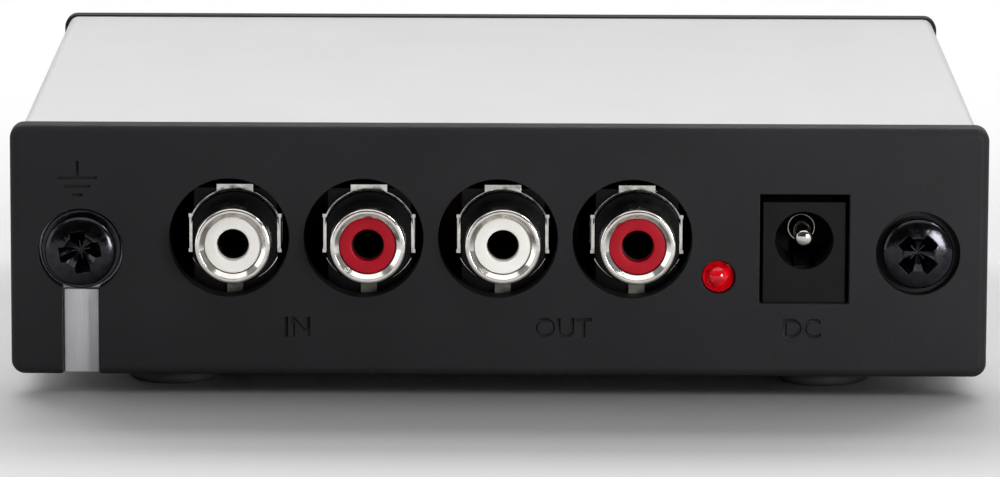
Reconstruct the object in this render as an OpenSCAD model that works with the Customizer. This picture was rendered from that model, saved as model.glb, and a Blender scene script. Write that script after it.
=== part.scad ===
// Phono preamplifier in a small extruded case.
// +X is to the right when looking at the rear panel, +Y runs from the rear panel
// to the front panel, and +Z is up. The origin is on the table, under the middle.
// Depths called t are measured from the rear panel's face, going into the case.

/* [Case sleeve] */
// Outside width of the aluminium sleeve
sleeve_w = 105; // [104:0.5:125]
// Outside height of the aluminium sleeve
sleeve_h = 27.1; // [26.5:0.1:34]
// Length of the sleeve, between the two end panels
sleeve_len = 84; // [82:1:120]
// Thickness of the sleeve's walls
sleeve_wall = 1.5; // [1.2:0.1:2]
// Radius of the sleeve's outer corners
sleeve_r = 1.2; // [0.8:0.1:3]
// From the sleeve's outer side to the middle of a screw port
port_inset = 6.7; // [6.2:0.1:9]
// Thickness of the wall round a screw port
port_wall = 1.5; // [1.2:0.1:2]
// Width of the slot along a screw port
port_slot = 1.6; // [1.2:0.1:2]
// Depth of the grooves that hold the circuit board
groove_depth = 2.5; // [1.5:0.1:3.5]
// Thickness of the ribs that form the grooves
groove_rib = 1.2; // [0.8:0.1:1.5]

/* [End panels] */
// Thickness of the rear panel
rear_t = 3; // [2.8:0.1:4]
// How far the rear panel stands past the sleeve at each side
rear_lip_x = 1; // [0.5:0.1:2]
// How far the rear panel stands past the sleeve at top and bottom
rear_lip_z = 0.3; // [0.2:0.1:1]
// Thickness of the front panel
front_t = 3; // [2:0.1:5]
// How far the front panel stands past the sleeve at each side
front_lip_x = 0.5; // [0.2:0.1:2]
// How far the front panel stands past the sleeve at top and bottom
front_lip_z = 0.2; // [0.1:0.1:1]
// Radius of the panels' corners, seen from the front
panel_r = 1.5; // [1.2:0.1:3]
// Radius of the rounded edge round a panel's outer face
panel_edge = 1; // [0.4:0.1:1.1]
// Thickness of the ribs that locate a panel in the sleeve
rib_t = 1.2; // [0.8:0.1:1.6]
// Depth of the locating ribs
rib_depth = 2; // [1:0.1:3]
// Length of one locating rib
rib_len = 24; // [16:1:28]
// Length of the front panel's pegs
peg_len = 8; // [4:0.5:14]

/* [Screws and ground] */
// Diameter of the screws' threads
screw_d = 4; // [3.5:0.1:4.4]
// Length of a screw under its head
screw_len = 12; // [9:0.5:16]
// Diameter of a screw's pan head
head_d = 7.8; // [7:0.1:8]
// Height of a screw's pan head
head_h = 2.4; // [2.2:0.1:3]
// Width across the cross recess
cross_w = 4.7; // [4:0.1:5]
// Width of one arm of the cross recess
cross_arm = 1.1; // [0.8:0.1:1.3]
// Depth of the cross recess
cross_depth = 1.5; // [1:0.1:1.8]
// Diameter of the recess round a screw's head
recess_d = 9.2; // [8.8:0.1:10]
// Depth of the case screw's recess
recess_depth = 1.6; // [1:0.1:1.8]
// Diameter of the ground screw's captive washer
washer_d = 8.8; // [8.2:0.1:9]
// Thickness of the captive washer
washer_t = 0.8; // [0.5:0.1:1]
// Width of the slot that the ground wire comes up through
slot_w = 4; // [3:0.1:5]
// Width of the ground plate
plate_w = 12; // [10:0.1:12.4]
// Thickness of the ground plate
plate_t = 1; // [0.8:0.1:1.2]
// How far the ground plate reaches above the screw's middle
plate_rise = 6; // [5:0.1:8]
// Depth of the ground plate's solder tail inside the case
tail_len = 6; // [4:0.1:10]

/* [Phono sockets] */
// How far the barrels stand out of the rear panel
jack_proud = 4; // [3:0.1:6]
// Distance between two sockets
jack_pitch = 14.7; // [14:0.1:15]
// Middle of the first socket, from the middle of the case
jack_first_x = -29; // [-29.5:0.1:-28]
// Height of the sockets' middle above the circuit board
jack_rise = 6.86; // [6.8:0.02:7.4]
// Diameter of the panel holes round the sockets
jack_hole_d = 13.1; // [12.4:0.1:13.4]
// Outside diameter of a barrel
barrel_d = 8.3; // [8:0.1:8.4]
// Thickness of a barrel's wall
barrel_wall = 1; // [0.8:0.05:1.1]
// Width of a socket's moulded body
jack_w = 9.3; // [9:0.1:9.6]
// Depth of a socket's moulded body
jack_body_len = 9; // [8:0.1:12]
// Height of a socket's body above its middle
jack_top = 5.25; // [5:0.05:5.6]
// Diameter of the hole in the coloured insulator
socket_d = 3.5; // [3.4:0.05:3.7]
// Inside diameter of the centre contact
contact_d = 3.3; // [3.2:0.05:3.35]
// Thickness of the ground frames' sheet metal
sheet_t = 0.4; // [0.3:0.05:0.6]

/* [Power socket] */
// Middle of the power socket, from the middle of the case
power_x = 33.4; // [33:0.1:34]
// Height of the power socket's middle above the circuit board
power_rise = 6.85; // [6.7:0.05:7]
// Width of the power socket's body
power_w = 9; // [8.8:0.1:9.4]
// Height of the power socket's body
power_h = 11.1; // [10.8:0.1:11.6]
// Length of the power socket's body
power_len = 14; // [13:0.1:15]
// Depth of the power socket's face behind the rear panel's face
power_recess = 1; // [0.2:0.1:2]
// Diameter of the opening for the plug's barrel
power_hole_d = 6.4; // [6:0.1:6.6]
// Depth of the opening for the plug's barrel
power_hole_depth = 9.5; // [9:0.1:10]
// Diameter of the centre pin
power_pin_d = 2; // [1.6:0.1:2.1]
// Gap between the power socket and its panel opening, at the sides
power_gap = 0.4; // [0.2:0.1:0.6]

/* [Indicator] */
// Middle of the indicator, from the middle of the case
led_x = 24; // [23.8:0.1:24.6]
// Height of the indicator's middle above the circuit board
led_rise = 2.9; // [2.6:0.1:3.4]
// Diameter of the indicator's lens
led_d = 3; // [2.8:0.1:3.2]
// Gap round the lens in its panel hole
led_gap = 0.35; // [0.1:0.05:0.5]

/* [Feet] */
// Diameter of a rubber foot
foot_d = 10.5; // [8:0.1:14]
// Height of a rubber foot
foot_h = 2.3; // [1.8:0.1:4]
// From the sleeve's sides to the middle of the nearest feet
foot_side = 16.5; // [8:0.5:24]
// From the panels' outer faces to the middle of the nearest feet
foot_inset = 10; // [9:0.5:20]

/* [Circuit board] */
// Thickness of the circuit board
board_t = 1.6; // [1:0.1:2]
// How far the board's top lies under the middle of the case
board_drop = 5.6; // [5.2:0.1:6.2]
// Gap round the board in its grooves and at its ends
board_gap = 0.2; // [0.1:0.05:0.3]
// Diameter of the parts' leads
lead_d = 0.6; // [0.5:0.05:0.8]
// How far the leads stand out under the board
lead_tail = 1.5; // [1:0.1:2]

/* [Components] */
// Diameter of a supply capacitor
supply_cap_d = 8; // [6.3:0.1:9]
// Height of a supply capacitor
supply_cap_h = 11; // [9:0.1:11.2]
// Diameter of a coupling capacitor
coupling_cap_d = 6.3; // [5:0.1:7]
// Height of a coupling capacitor
coupling_cap_h = 10; // [7:0.1:11]
// Length of a film capacitor
film_len = 7.2; // [6.5:0.1:8]
// Thickness of a film capacitor
film_t = 3; // [2.5:0.1:4]
// Height of a film capacitor
film_h = 7.5; // [6:0.1:10]
// Length of a resistor's body
resistor_len = 6.3; // [5:0.1:7]
// Diameter of a resistor's body
resistor_d = 2.3; // [1.8:0.1:2.6]
// Distance between a resistor's two leads
resistor_span = 10; // [9:0.1:12]

/* [Hidden] */
$fn = 48;
eps = 0.01;
fit = 0.05;                // play of a sliding or located fit
seat = 0.15;               // play of the panels' ribs in the sleeve
hull_fn = 32;
over = 1;                  // how far a cut runs past what it cuts
root = 0.5;                // how far a rib or web runs into its wall
loose = 0.1;               // play under and over the circuit board
stub = 0.2;                // how far a solder leg reaches up into its part
leg_foot = 0.1;            // gap between the board and a sheet-metal part's shoulder

// Case
z_mid = foot_h + sleeve_h / 2;
inner_w = sleeve_w - 2 * sleeve_wall;
inner_h = sleeve_h - 2 * sleeve_wall;
inner_r = 0.4;
rear_w = sleeve_w + 2 * rear_lip_x;
rear_h = sleeve_h + 2 * rear_lip_z;
front_w = sleeve_w + 2 * front_lip_x;
front_h = sleeve_h + 2 * front_lip_z;
case_len = rear_t + sleeve_len + front_t;
rear_y = jack_proud - (jack_proud + case_len) / 2;
front_in_t = rear_t + sleeve_len;
port_x = sleeve_w / 2 - port_inset;
port_bore = screw_d / 2 + fit;
port_web_h = 3;
rib_x = 12;                // from the middle to the nearest end of a rib

// Circuit board
board_top = z_mid - board_drop;
board_bottom = board_top - board_t;
board_w = inner_w - 2 * board_gap;
board_t0 = rear_t + board_gap;
board_len = sleeve_len - 2 * board_gap;
board_mid_y = rear_y + board_t0 + board_len / 2;
hole_r = lead_d / 2 + 0.15; // of the board's lead holes

// Screws and ground
panel_hole = screw_d / 2 + 0.2;
washer_hole = screw_d / 2 + 0.15;
plate_hole = screw_d / 2 + 0.25;
plate_gap = 0.2;
head_flat_r = head_d / 2 - 1.6;
head_round_r = head_d / 2 - 0.5;
crown = head_h * 0.45;
tip = 0.8;                 // the chamfer at a screw's end
plate_t0 = rear_t - plate_t;
plate_bottom = z_mid - rear_h / 2;
tail_x = -port_x + plate_w / 2 - plate_t / 2;
tail_t = rear_t + tail_len;
tail_h = 3;
tail_pin = 1;
tail_hole = 0.8;
ground_turn = -9;          // how the cross recesses happen to stand, in degrees
case_turn = 45;

// Phono sockets
JACKS = [1, 2, 3, 4];
jack_z = board_top + jack_rise;
hole_dx = -0.55;           // the panel holes sit a little off the sockets
hole_dz = 0.24;
collar_t0 = rear_t - 1.1;
collar_len = 0.8;
collar_r = 5.15;
flange_len = 0.3;
flange_r = 4.95;
neck_r = barrel_d / 2 - 0.25;
mouth = 0.35;              // width of the cone inside a barrel's mouth
mouth_len = 0.6;
rim = 0.1;                 // first step of the rounded rim
rim_len = 0.35;
plug_r = barrel_d / 2 - barrel_wall - fit;
rivet_r = plug_r + fit + 0.45;
rivet_len = sheet_t + 0.4;
frame_t0 = collar_t0 + collar_len + flange_len;
body_t0 = frame_t0 + sheet_t;
body_t1 = body_t0 + jack_body_len;
plug_front = -jack_proud + 0.7;
plug_back = body_t1 - 1.4;
socket_lip = 1.5;
contact_r = contact_d / 2 + 0.3;
contact_t0 = plug_front + socket_lip + fit;
contact_t1 = plug_back - 1.1;
contact_end = 0.5;
rod_r = 0.6;
jack_tail_t = body_t1 + rod_r + 0.2;
leg_w = 1.75;
leg_tip = 0.8;
leg_hole = 0.55;
pin_r = rod_r - 0.1;       // the contact's solder pin
frame_r = collar_r + 0.15;
tab_len = 5;
tab_top_w = 4;
tab_side_h = 4.3;
tab_side_z = 0.27;

// Power socket
power_z = board_top + power_rise;
power_top_gap = 1;
power_bottom_gap = 0.05;
power_t1 = power_recess + power_len;
hole_end = power_recess + power_hole_depth;
pin_flange_r = power_pin_d / 2 + 0.6;
pin_flange_len = 0.8;
pin_rod_r = power_pin_d / 2 - 0.1;
pin_tip_t = power_recess + 0.8;
pin_taper = 0.6;
strip_rise = 1.5;
strip_w = 2.4;
strip_t = 0.5;
strip_hole = 0.7;
spring_w = 2;
spring_t = 0.3;
channel_gap = 0.3;
channel_depth = 5.2;
channel_skin = 1;
spring_root_t = power_recess + 11;
spring_root_z = -4.4;
spring_crest_z = -2.35;
spring_crest_t = power_recess + 4.5;
spring_tip_t = power_recess + 2.4;
spring_tip_drop = 0.9;
terminal_gap = 0.12;       // between the leaf's root and the cut for its fixed foot
terminal_play = 0.1;
terminal_cut = 1.5;
terminal_t = 0.5;
terminal_t0 = spring_root_t + terminal_gap + terminal_play;
terminal_rise = 0.6;
terminal_leg = 0.8;

// Indicator
led_z = board_top + led_rise;
led_proud = 0.2;
led_len = 5.3;
led_flange_r = led_d / 2 + 0.4;
led_flange_len = 1;
led_pitch = 2.54;
led_lead = 0.5;
led_bend_t = 8;

// Where the components stand, from the middle of the board. The two channels are alike,
// and the supply's parts stand beside the right screw port.
part_gap = 1.35;
port_side = port_x - port_bore - port_wall - part_gap;
right_x = port_side - supply_cap_d / 2;
left_x = -port_side + coupling_cap_d / 2;
channel_x = -20;
channel_step = 25;
CHANNELS = [channel_x, channel_x + channel_step];
op_amp_y = -1;
film_far = -10;
film_near = -1;
film_row = 14;
resistor_step = 4.2;
resistor_row = 29;
coupling_side = 12;
coupling_x = CHANNELS[1] + coupling_side;
coupling_row = 8;
coupling_step = 9.5;
supply_row = -17;
supply_step = 10;
supply_side = 8;
inner_x = right_x - supply_side;
regulator_row = 12;
regulator_step = 9;
diode_row = -14;
diode_step = 5;
diode_x = inner_x - supply_side;
OP_AMPS = [for (x = CHANNELS) [x, op_amp_y]];
FILM_CAPS = [for (x = CHANNELS) for (dx = [film_far, film_near]) for (s = [-1, 1])
    [x + dx, s * film_row]];
RESISTORS = [for (x = CHANNELS) for (k = [-2.5 : 1 : 2.5]) [x + k * resistor_step, resistor_row]];
COUPLING_CAPS = [[left_x, coupling_row - coupling_step], [left_x, coupling_row],
    [coupling_x, coupling_row], [coupling_x, coupling_row + coupling_step]];
SUPPLY_CAPS = [[right_x, supply_row], [right_x, supply_row + supply_step],
    [right_x - supply_step, supply_row + 1.5 * supply_step]];
REGULATORS = [[inner_x, regulator_row], [inner_x + regulator_step, regulator_row]];
DIODES = [[diode_x - diode_step, diode_row], [diode_x, diode_row]];
INDUCTOR = [inner_x, diode_row];
op_amp_size = [6.4, 9.6, 3.4];
op_amp_row = 7.62;
op_amp_rise = 0.6;
notch_r = 0.8;
notch_depth = 0.4;
op_amp_pin_w = 0.5;
op_amp_pin_z = 2;
op_amp_pin_t = 0.3;
pin_pitch = 2.54;
can_pitch = 3.5;
small_can_pitch = 2.5;
crimp_z = 1.2;             // the groove near a can's foot
crimp = 0.35;
crimp_step = 0.3;
film_pitch = 5;
regulator_r = 2.3;
regulator_h = 4.6;
regulator_rise = 2.5;
regulator_flat = regulator_r * 0.55;
regulator_pitch = 1.27;
diode_r = 1.3;
diode_len = 4.2;
diode_span = 9;
inductor_d = 6;
inductor_h = 7;
inductor_pitch = 3;
bobbin_t = 1.2;
bobbin_step = 0.6;

function row_points(spots, dx, dy) =
    [for (p = spots) for (s = [-1, 1]) [p[0] + s * dx, p[1] + s * dy]];
OP_AMP_PINS = [for (p = OP_AMPS) for (s = [-1, 1]) for (k = [-1.5 : 1 : 1.5])
    [p[0] + s * op_amp_row / 2, p[1] + k * pin_pitch]];
CAN_LEADS = concat(row_points(SUPPLY_CAPS, can_pitch / 2, 0),
    row_points(COUPLING_CAPS, small_can_pitch / 2, 0));
FILM_LEADS = row_points(FILM_CAPS, film_pitch / 2, 0);
RESISTOR_LEADS = row_points(RESISTORS, 0, resistor_span / 2);
REGULATOR_LEADS = [for (p = REGULATORS) for (k = [-1, 0, 1]) [p[0] + k * regulator_pitch, p[1]]];
DIODE_LEADS = row_points(DIODES, 0, diode_span / 2);
INDUCTOR_LEADS = row_points([INDUCTOR], inductor_pitch / 2, 0);
BOARD_LEADS = concat(OP_AMP_PINS, CAN_LEADS, FILM_LEADS, RESISTOR_LEADS,
    REGULATOR_LEADS, DIODE_LEADS, INDUCTOR_LEADS);

JACK_PARTS = ["body", "frame", "collar", "barrel", "insulator", "contact"];

// ---- Helpers -------------------------------------------------------------------

// A rectangle with round corners, centred
module rounded(w, h, r) {
    square([w - 2 * r, h], center = true);
    square([w, h - 2 * r], center = true);
    for (x = [-1, 1], z = [-1, 1])
        translate([x * (w / 2 - r), z * (h / 2 - r)]) circle(r);
}

// An outline drawn in X and Z, given a depth from t0
module slab(t0, len) {
    translate([0, rear_y + t0 + len, 0]) rotate([90, 0, 0]) linear_extrude(len) children();
}

// A round rod that runs into the case from depth t0
module rod(x, z, r, t0, len) {
    translate([x, rear_y + t0, z]) rotate([-90, 0, 0]) cylinder(r = r, h = len);
}

// A profile of radius and depth, turned round a line into the case
module turned(x, z) {
    translate([x, rear_y, z]) rotate([-90, 0, 0]) rotate_extrude() children();
}

// A rectangle from its corner values
module patch(x0, x1, z0, z1) {
    translate([x0, z0]) square([x1 - x0, z1 - z0]);
}

// A rectangle centred at x, from one height to another
module strip(x, w, z0, z1) {
    patch(x - w / 2, x + w / 2, z0, z1);
}

// A round cut from in front of the rear panel down to depth t
module cut_round(x, z, r, t) {
    rod(x, z, r, -over, t + over);
}

// A cut of any outline from in front of the rear panel down to depth t
module cut_slab(t) {
    slab(-over, t + over) children();
}

// A plate with a rounded outer edge: its outer face is at y = 0, its back at y = t
module end_plate(w, h, t) {
    hull() {
        for (a = [0 : 18 : 90]) {
            inset = panel_edge * (1 - sin(a));
            depth = panel_edge * (1 - cos(a));
            translate([0, depth + eps, z_mid]) rotate([90, 0, 0]) linear_extrude(eps)
                rounded(w - 2 * inset, h - 2 * inset, panel_r - inset, $fn = hull_fn);
        }
        translate([0, t, z_mid]) rotate([90, 0, 0]) linear_extrude(eps)
            rounded(w, h, panel_r, $fn = hull_fn);
    }
}

// The four ribs that locate a panel inside the sleeve
module rib_outline() {
    for (x = [-1, 1], z = [-1, 1]) {
        mid_z = inner_h / 2 - seat - rib_t / 2;
        translate([x * (rib_x + rib_len / 2), z_mid + z * mid_z])
            square([rib_len, rib_t], center = true);
    }
}

// ---- Case ----------------------------------------------------------------------

module case_sleeve() {
    color("#dcdddf") slab(rear_t, sleeve_len) difference() {
        union() {
            translate([0, z_mid]) difference() {
                rounded(sleeve_w, sleeve_h, sleeve_r);
                rounded(inner_w, inner_h, inner_r);
            }
            for (s = [-1, 1]) {
                translate([s * port_x, z_mid]) circle(port_bore + port_wall);
                translate([s * (port_x + inner_w / 2 + root) / 2, z_mid])
                    square([inner_w / 2 + root - port_x, port_web_h], center = true);
                board_groove(s);
            }
        }
        for (s = [-1, 1]) translate([s * port_x, z_mid]) {
            circle(port_bore);
            translate([-s * port_bore, 0])
                square([2 * (port_wall + fit) + port_bore, port_slot], center = true);
        }
    }
}

// The two ribs at one side that hold the circuit board between them
module board_groove(s) {
    mid_x = s * (inner_w / 2 + root / 2 - groove_depth / 2);
    size = [groove_depth + root, groove_rib];
    translate([mid_x, board_bottom - loose - groove_rib / 2]) square(size, center = true);
    translate([mid_x, board_top + loose + groove_rib / 2]) square(size, center = true);
}

module rear_panel() {
    color("#26272a") difference() {
        union() {
            translate([0, rear_y, 0]) end_plate(rear_w, rear_h, rear_t);
            slab(rear_t - eps, rib_depth) rib_outline();
        }
        for (i = JACKS)
            cut_round(jack_x(i) + hole_dx, jack_z + hole_dz, jack_hole_d / 2, rear_t + over);
        cut_round(led_x, led_z, led_d / 2 + led_gap, rear_t + over);
        cut_slab(rear_t + over) strip(power_x, power_w + 2 * power_gap,
            board_top - power_bottom_gap, board_top + power_h + power_top_gap);
        cut_round(port_x, z_mid, recess_d / 2, recess_depth);
        cut_round(port_x, z_mid, panel_hole, rear_t + over);
        keyhole();
        slab(plate_t0, plate_t + over) strip(-port_x, plate_w + 2 * plate_gap,
            plate_bottom - over, z_mid + plate_rise + plate_gap);
    }
}

// The round recess and the slot under it, down to the panel's lower edge
module keyhole() {
    cut_round(-port_x, z_mid, recess_d / 2, plate_t0 + over);
    cut_slab(plate_t0 + over) strip(-port_x, slot_w, plate_bottom - over, z_mid);
}

module front_panel() {
    color("#232427") {
        translate([0, rear_y + case_len, 0]) mirror([0, 1, 0])
            end_plate(front_w, front_h, front_t);
        slab(front_in_t - rib_depth, rib_depth + eps) rib_outline();
        for (s = [-1, 1])
            rod(s * port_x, z_mid, port_bore - fit, front_in_t - peg_len, peg_len + eps);
    }
}

module foot(i) {
    sx = i % 2 == 1 ? -1 : 1;
    y = i <= 2 ? rear_y + foot_inset : rear_y + case_len - foot_inset;
    soft = 0.8;
    color("#1c1c1e") translate([sx * (sleeve_w / 2 - foot_side), y, 0]) rotate_extrude() {
        square([foot_d / 2 - soft, foot_h]);
        translate([0, soft]) square([foot_d / 2, foot_h - soft]);
        translate([foot_d / 2 - soft, soft]) intersection() {
            circle(soft);
            translate([0, -soft]) square(soft);
        }
    }
}

// ---- Screws and ground ---------------------------------------------------------

// A pan-head screw with its head resting at depth t0 and its cross recess turned
module pan_screw(x, t0, turn) {
    top = t0 - head_h;
    end = t0 + screw_len;
    difference() {
        turned(x, z_mid) union() {
            polygon([[0, top], [head_flat_r, top], [head_round_r, top + crown / 2],
                [head_d / 2, top + crown], [head_d / 2, t0], [0, t0]]);
            polygon([[0, t0], [screw_d / 2, t0], [screw_d / 2, end - tip],
                [screw_d / 2 - tip, end], [0, end]]);
        }
        translate([x, rear_y + top - over, z_mid]) rotate([-90, 0, 0]) rotate([0, 0, turn])
            for (a = [0, 90]) rotate([0, 0, a]) translate([-cross_w / 2, -cross_arm / 2, 0])
                cube([cross_w, cross_arm, cross_depth + over]);
    }
}

module case_screw() {
    color("#1b1b1d") pan_screw(port_x, recess_depth, case_turn);
}

module ground_screw() {
    color("#1b1b1d") pan_screw(-port_x, plate_t0 - washer_t, ground_turn);
}

module ground_washer() {
    color("#2a2a2c") difference() {
        rod(-port_x, z_mid, washer_d / 2, plate_t0 - washer_t, washer_t);
        cut_round(-port_x, z_mid, washer_hole, plate_t0 + over);
    }
}

module ground_plate() {
    tail_z = board_top + leg_foot;
    color("#b9b9b6") {
        slab(plate_t0, plate_t) difference() {
            strip(-port_x, plate_w, plate_bottom, z_mid + plate_rise);
            translate([-port_x, z_mid]) circle(plate_hole);
        }
        slab(rear_t - eps, tail_len + eps) strip(tail_x, plate_t, tail_z, tail_z + tail_h);
        slab(tail_t - tail_pin, tail_pin)
            strip(tail_x, plate_t, board_bottom - lead_tail, board_top + stub);
    }
}

// ---- Phono sockets -------------------------------------------------------------

function jack_x(i) = jack_first_x + (i - 1) * jack_pitch;

// A disc round a socket's axis, cut off flush with the sides of the body
module flat_disc(x, r) {
    intersection() {
        translate([x, jack_z]) circle(r);
        strip(x, jack_w, jack_z - r, jack_z + r);
    }
}

// The moulded body behind the panel
module jack_body(i) {
    color("#161617") difference() {
        slab(body_t0, jack_body_len)
            strip(jack_x(i), jack_w, board_top, jack_z + jack_top);
        cut_round(jack_x(i), jack_z, plug_r + fit, plug_back + fit);
        cut_round(jack_x(i), jack_z, rivet_r + fit, frame_t0 + rivet_len + fit);
        cut_round(jack_x(i), jack_z, rod_r + fit, body_t1 + over);
    }
}

// The sheet-metal ground frame: front plate, tabs over the body, and the solder leg
module jack_frame(i) {
    x = jack_x(i);
    side = jack_w / 2 + fit;
    top = jack_z + jack_top + fit;
    mid = jack_z + tab_side_z;
    color("#c9c9c6") {
        slab(frame_t0, sheet_t) difference() {
            union() {
                strip(x, 2 * (side + sheet_t), mid - tab_side_h / 2, mid + tab_side_h / 2);
                flat_disc(x, frame_r);
                strip(x, tab_top_w, jack_z, top + sheet_t);
                strip(x, leg_w, board_top + leg_foot, jack_z);
                strip(x, leg_tip, board_bottom - lead_tail, board_top + stub);
            }
            translate([x, jack_z]) circle(rivet_r + fit);
        }
        slab(frame_t0, tab_len) strip(x, tab_top_w, top, top + sheet_t);
        for (s = [-1, 1]) slab(frame_t0, tab_len)
            strip(x + s * (side + sheet_t / 2), sheet_t, mid - tab_side_h / 2, mid + tab_side_h / 2);
    }
}

// The black ring pushed over the barrel in front of its flange
module jack_collar(i) {
    color("#141415") difference() {
        slab(collar_t0, collar_len) flat_disc(jack_x(i), collar_r);
        cut_round(jack_x(i), jack_z, neck_r + fit, collar_t0 + collar_len + over);
    }
}

// The plated barrel, its flange and the rivet that holds it to the frame
module jack_barrel(i) {
    r = barrel_d / 2;
    bore = plug_r + fit;
    t0 = -jack_proud;
    color("#d5d3cd") turned(jack_x(i), jack_z) polygon([
        [bore, frame_t0 + rivet_len], [bore, t0 + mouth_len], [bore + mouth, t0],
        [r - rim_len, t0], [r - rim, t0 + rim], [r, t0 + rim_len],
        [r, collar_t0], [neck_r, collar_t0], [neck_r, frame_t0 - flange_len],
        [flange_r, frame_t0 - flange_len], [flange_r, frame_t0],
        [rivet_r, frame_t0], [rivet_r, frame_t0 + rivet_len]]);
}

// The coloured insulator inside the barrel: white for one channel, red for the other
module jack_insulator(i) {
    color(i % 2 == 1 ? "#efece6" : "#b3152a") turned(jack_x(i), jack_z) polygon([
        [socket_d / 2, plug_front], [plug_r, plug_front], [plug_r, plug_back],
        [rod_r + fit, plug_back], [rod_r + fit, contact_t1 + fit], [contact_r + fit, contact_t1 + fit],
        [contact_r + fit, plug_front + socket_lip], [socket_d / 2, plug_front + socket_lip]]);
}

// The centre contact: a tube, a rod through the body, and a solder pin behind it
module jack_contact(i) {
    x = jack_x(i);
    color("#c8b27a") {
        turned(x, jack_z) polygon([
            [contact_d / 2, contact_t0], [contact_r, contact_t0], [contact_r, contact_t1],
            [rod_r, contact_t1], [rod_r, jack_tail_t], [0, jack_tail_t],
            [0, contact_t1 - contact_end], [contact_d / 2, contact_t1 - contact_end]]);
        translate([x, rear_y + jack_tail_t, board_bottom - lead_tail])
            cylinder(r = pin_r, h = jack_z - board_bottom + lead_tail);
        translate([x, rear_y + jack_tail_t, jack_z]) sphere(rod_r);
    }
}

// ---- Power socket --------------------------------------------------------------

module power_body() {
    channel_w = spring_w + 2 * channel_gap;
    channel_t0 = power_recess + channel_skin;
    cut_t0 = spring_root_t + terminal_gap;
    color("#1a1a1c") difference() {
        slab(power_recess, power_len) strip(power_x, power_w, board_top, board_top + power_h);
        cut_round(power_x, power_z, power_hole_d / 2, hole_end);
        cut_round(power_x, power_z, pin_rod_r + fit, power_t1 + over);
        slab(channel_t0, cut_t0 + terminal_cut - channel_t0)
            strip(power_x, channel_w, power_z - channel_depth, power_z - power_hole_d / 4);
        slab(cut_t0, terminal_cut)
            strip(power_x, channel_w, board_top - over, power_z - channel_depth + over);
    }
}

// The centre pin, its rod through the body, and the solder strip behind it
module power_pin() {
    r = power_pin_d / 2;
    color("#d2d0ca") {
        turned(power_x, power_z) polygon([
            [0, pin_tip_t], [r / 2, pin_tip_t], [r, pin_tip_t + pin_taper],
            [r, hole_end - pin_flange_len], [pin_flange_r, hole_end - pin_flange_len],
            [pin_flange_r, hole_end], [pin_rod_r, hole_end],
            [pin_rod_r, power_t1 + strip_t], [0, power_t1 + strip_t]]);
        slab(power_t1, strip_t) {
            strip(power_x, strip_w, board_top + leg_foot, power_z + strip_rise);
            strip(power_x, 2 * strip_t, board_bottom - lead_tail, board_top + stub);
        }
    }
}

// The leaf that presses on the plug's barrel: it rises from its root to a crest
module power_spring() {
    leaf = [[spring_root_t, spring_root_z], [spring_crest_t, spring_crest_z],
        [spring_tip_t, spring_crest_z - spring_tip_drop]];
    color("#cfc9b4") translate([power_x - spring_w / 2, rear_y, power_z])
        rotate([90, 0, 90]) linear_extrude(spring_w)
            polygon(concat(leaf, [for (k = [2, 1, 0]) leaf[k] - [0, spring_t]]));
}

// The fixed foot that the leaf bends from, and its solder leg
module power_terminal() {
    color("#cfc9b4") slab(terminal_t0, terminal_t) {
        strip(power_x, spring_w, board_top + leg_foot, power_z + spring_root_z + terminal_rise);
        strip(power_x, terminal_leg, board_bottom - lead_tail, board_top + stub);
    }
}

// ---- Indicator -----------------------------------------------------------------

module led_lens() {
    r = led_d / 2;
    back = led_len - led_proud;
    color("#c81e1e") {
        translate([led_x, rear_y + r - led_proud, led_z]) sphere(r);
        rod(led_x, led_z, r, r - led_proud, back - r + led_proud);
        rod(led_x, led_z, led_flange_r, back - led_flange_len, led_flange_len);
    }
}

module led_leads() {
    back = led_len - led_proud;
    half = led_lead / 2;
    color("#c9c9c6") for (s = [-1, 1]) translate([led_x + s * led_pitch / 2, rear_y, 0]) {
        translate([-half, back, led_z - half]) cube([led_lead, led_bend_t + half - back, led_lead]);
        translate([-half, led_bend_t - half, board_bottom - lead_tail])
            cube([led_lead, led_lead, led_z + half - board_bottom + lead_tail]);
    }
}

// ---- Circuit board and components ----------------------------------------------

module circuit_board() {
    color("#1f5a34") difference() {
        translate([-board_w / 2, rear_y + board_t0, board_bottom])
            cube([board_w, board_len, board_t]);
        for (p = BOARD_LEADS) drill(p[0], board_mid_y + p[1], hole_r);
        for (i = JACKS) {
            drill(jack_x(i), rear_y + frame_t0 + sheet_t / 2, leg_hole);
            drill(jack_x(i), rear_y + jack_tail_t, rod_r);
        }
        drill(power_x, rear_y + power_t1 + strip_t / 2, strip_hole);
        drill(power_x, rear_y + terminal_t0 + terminal_t / 2, strip_hole);
        for (s = [-1, 1]) drill(led_x + s * led_pitch / 2, rear_y + led_bend_t, hole_r);
        drill(tail_x, rear_y + tail_t - tail_pin / 2, tail_hole);
    }
}

module drill(x, y, r) {
    translate([x, y, board_bottom - over]) cylinder(r = r, h = board_t + 2 * over);
}

module on_board(p) {
    translate([p[0], board_mid_y + p[1], board_top]) children();
}

// A straight lead from a component down through the board
module straight_lead(p, rise = 0) {
    on_board(p) translate([0, 0, -board_t - lead_tail])
        cylinder(r = lead_d / 2, h = board_t + lead_tail + rise);
}

module op_amp(i) {
    s = op_amp_size;
    color("#1d1d1f") on_board(OP_AMPS[i - 1]) translate([0, 0, op_amp_rise]) difference() {
        translate([-s[0] / 2, -s[1] / 2, 0]) cube(s);
        translate([0, -s[1] / 2, s[2] - notch_depth]) cylinder(r = notch_r, h = notch_depth + over);
    }
}

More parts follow.
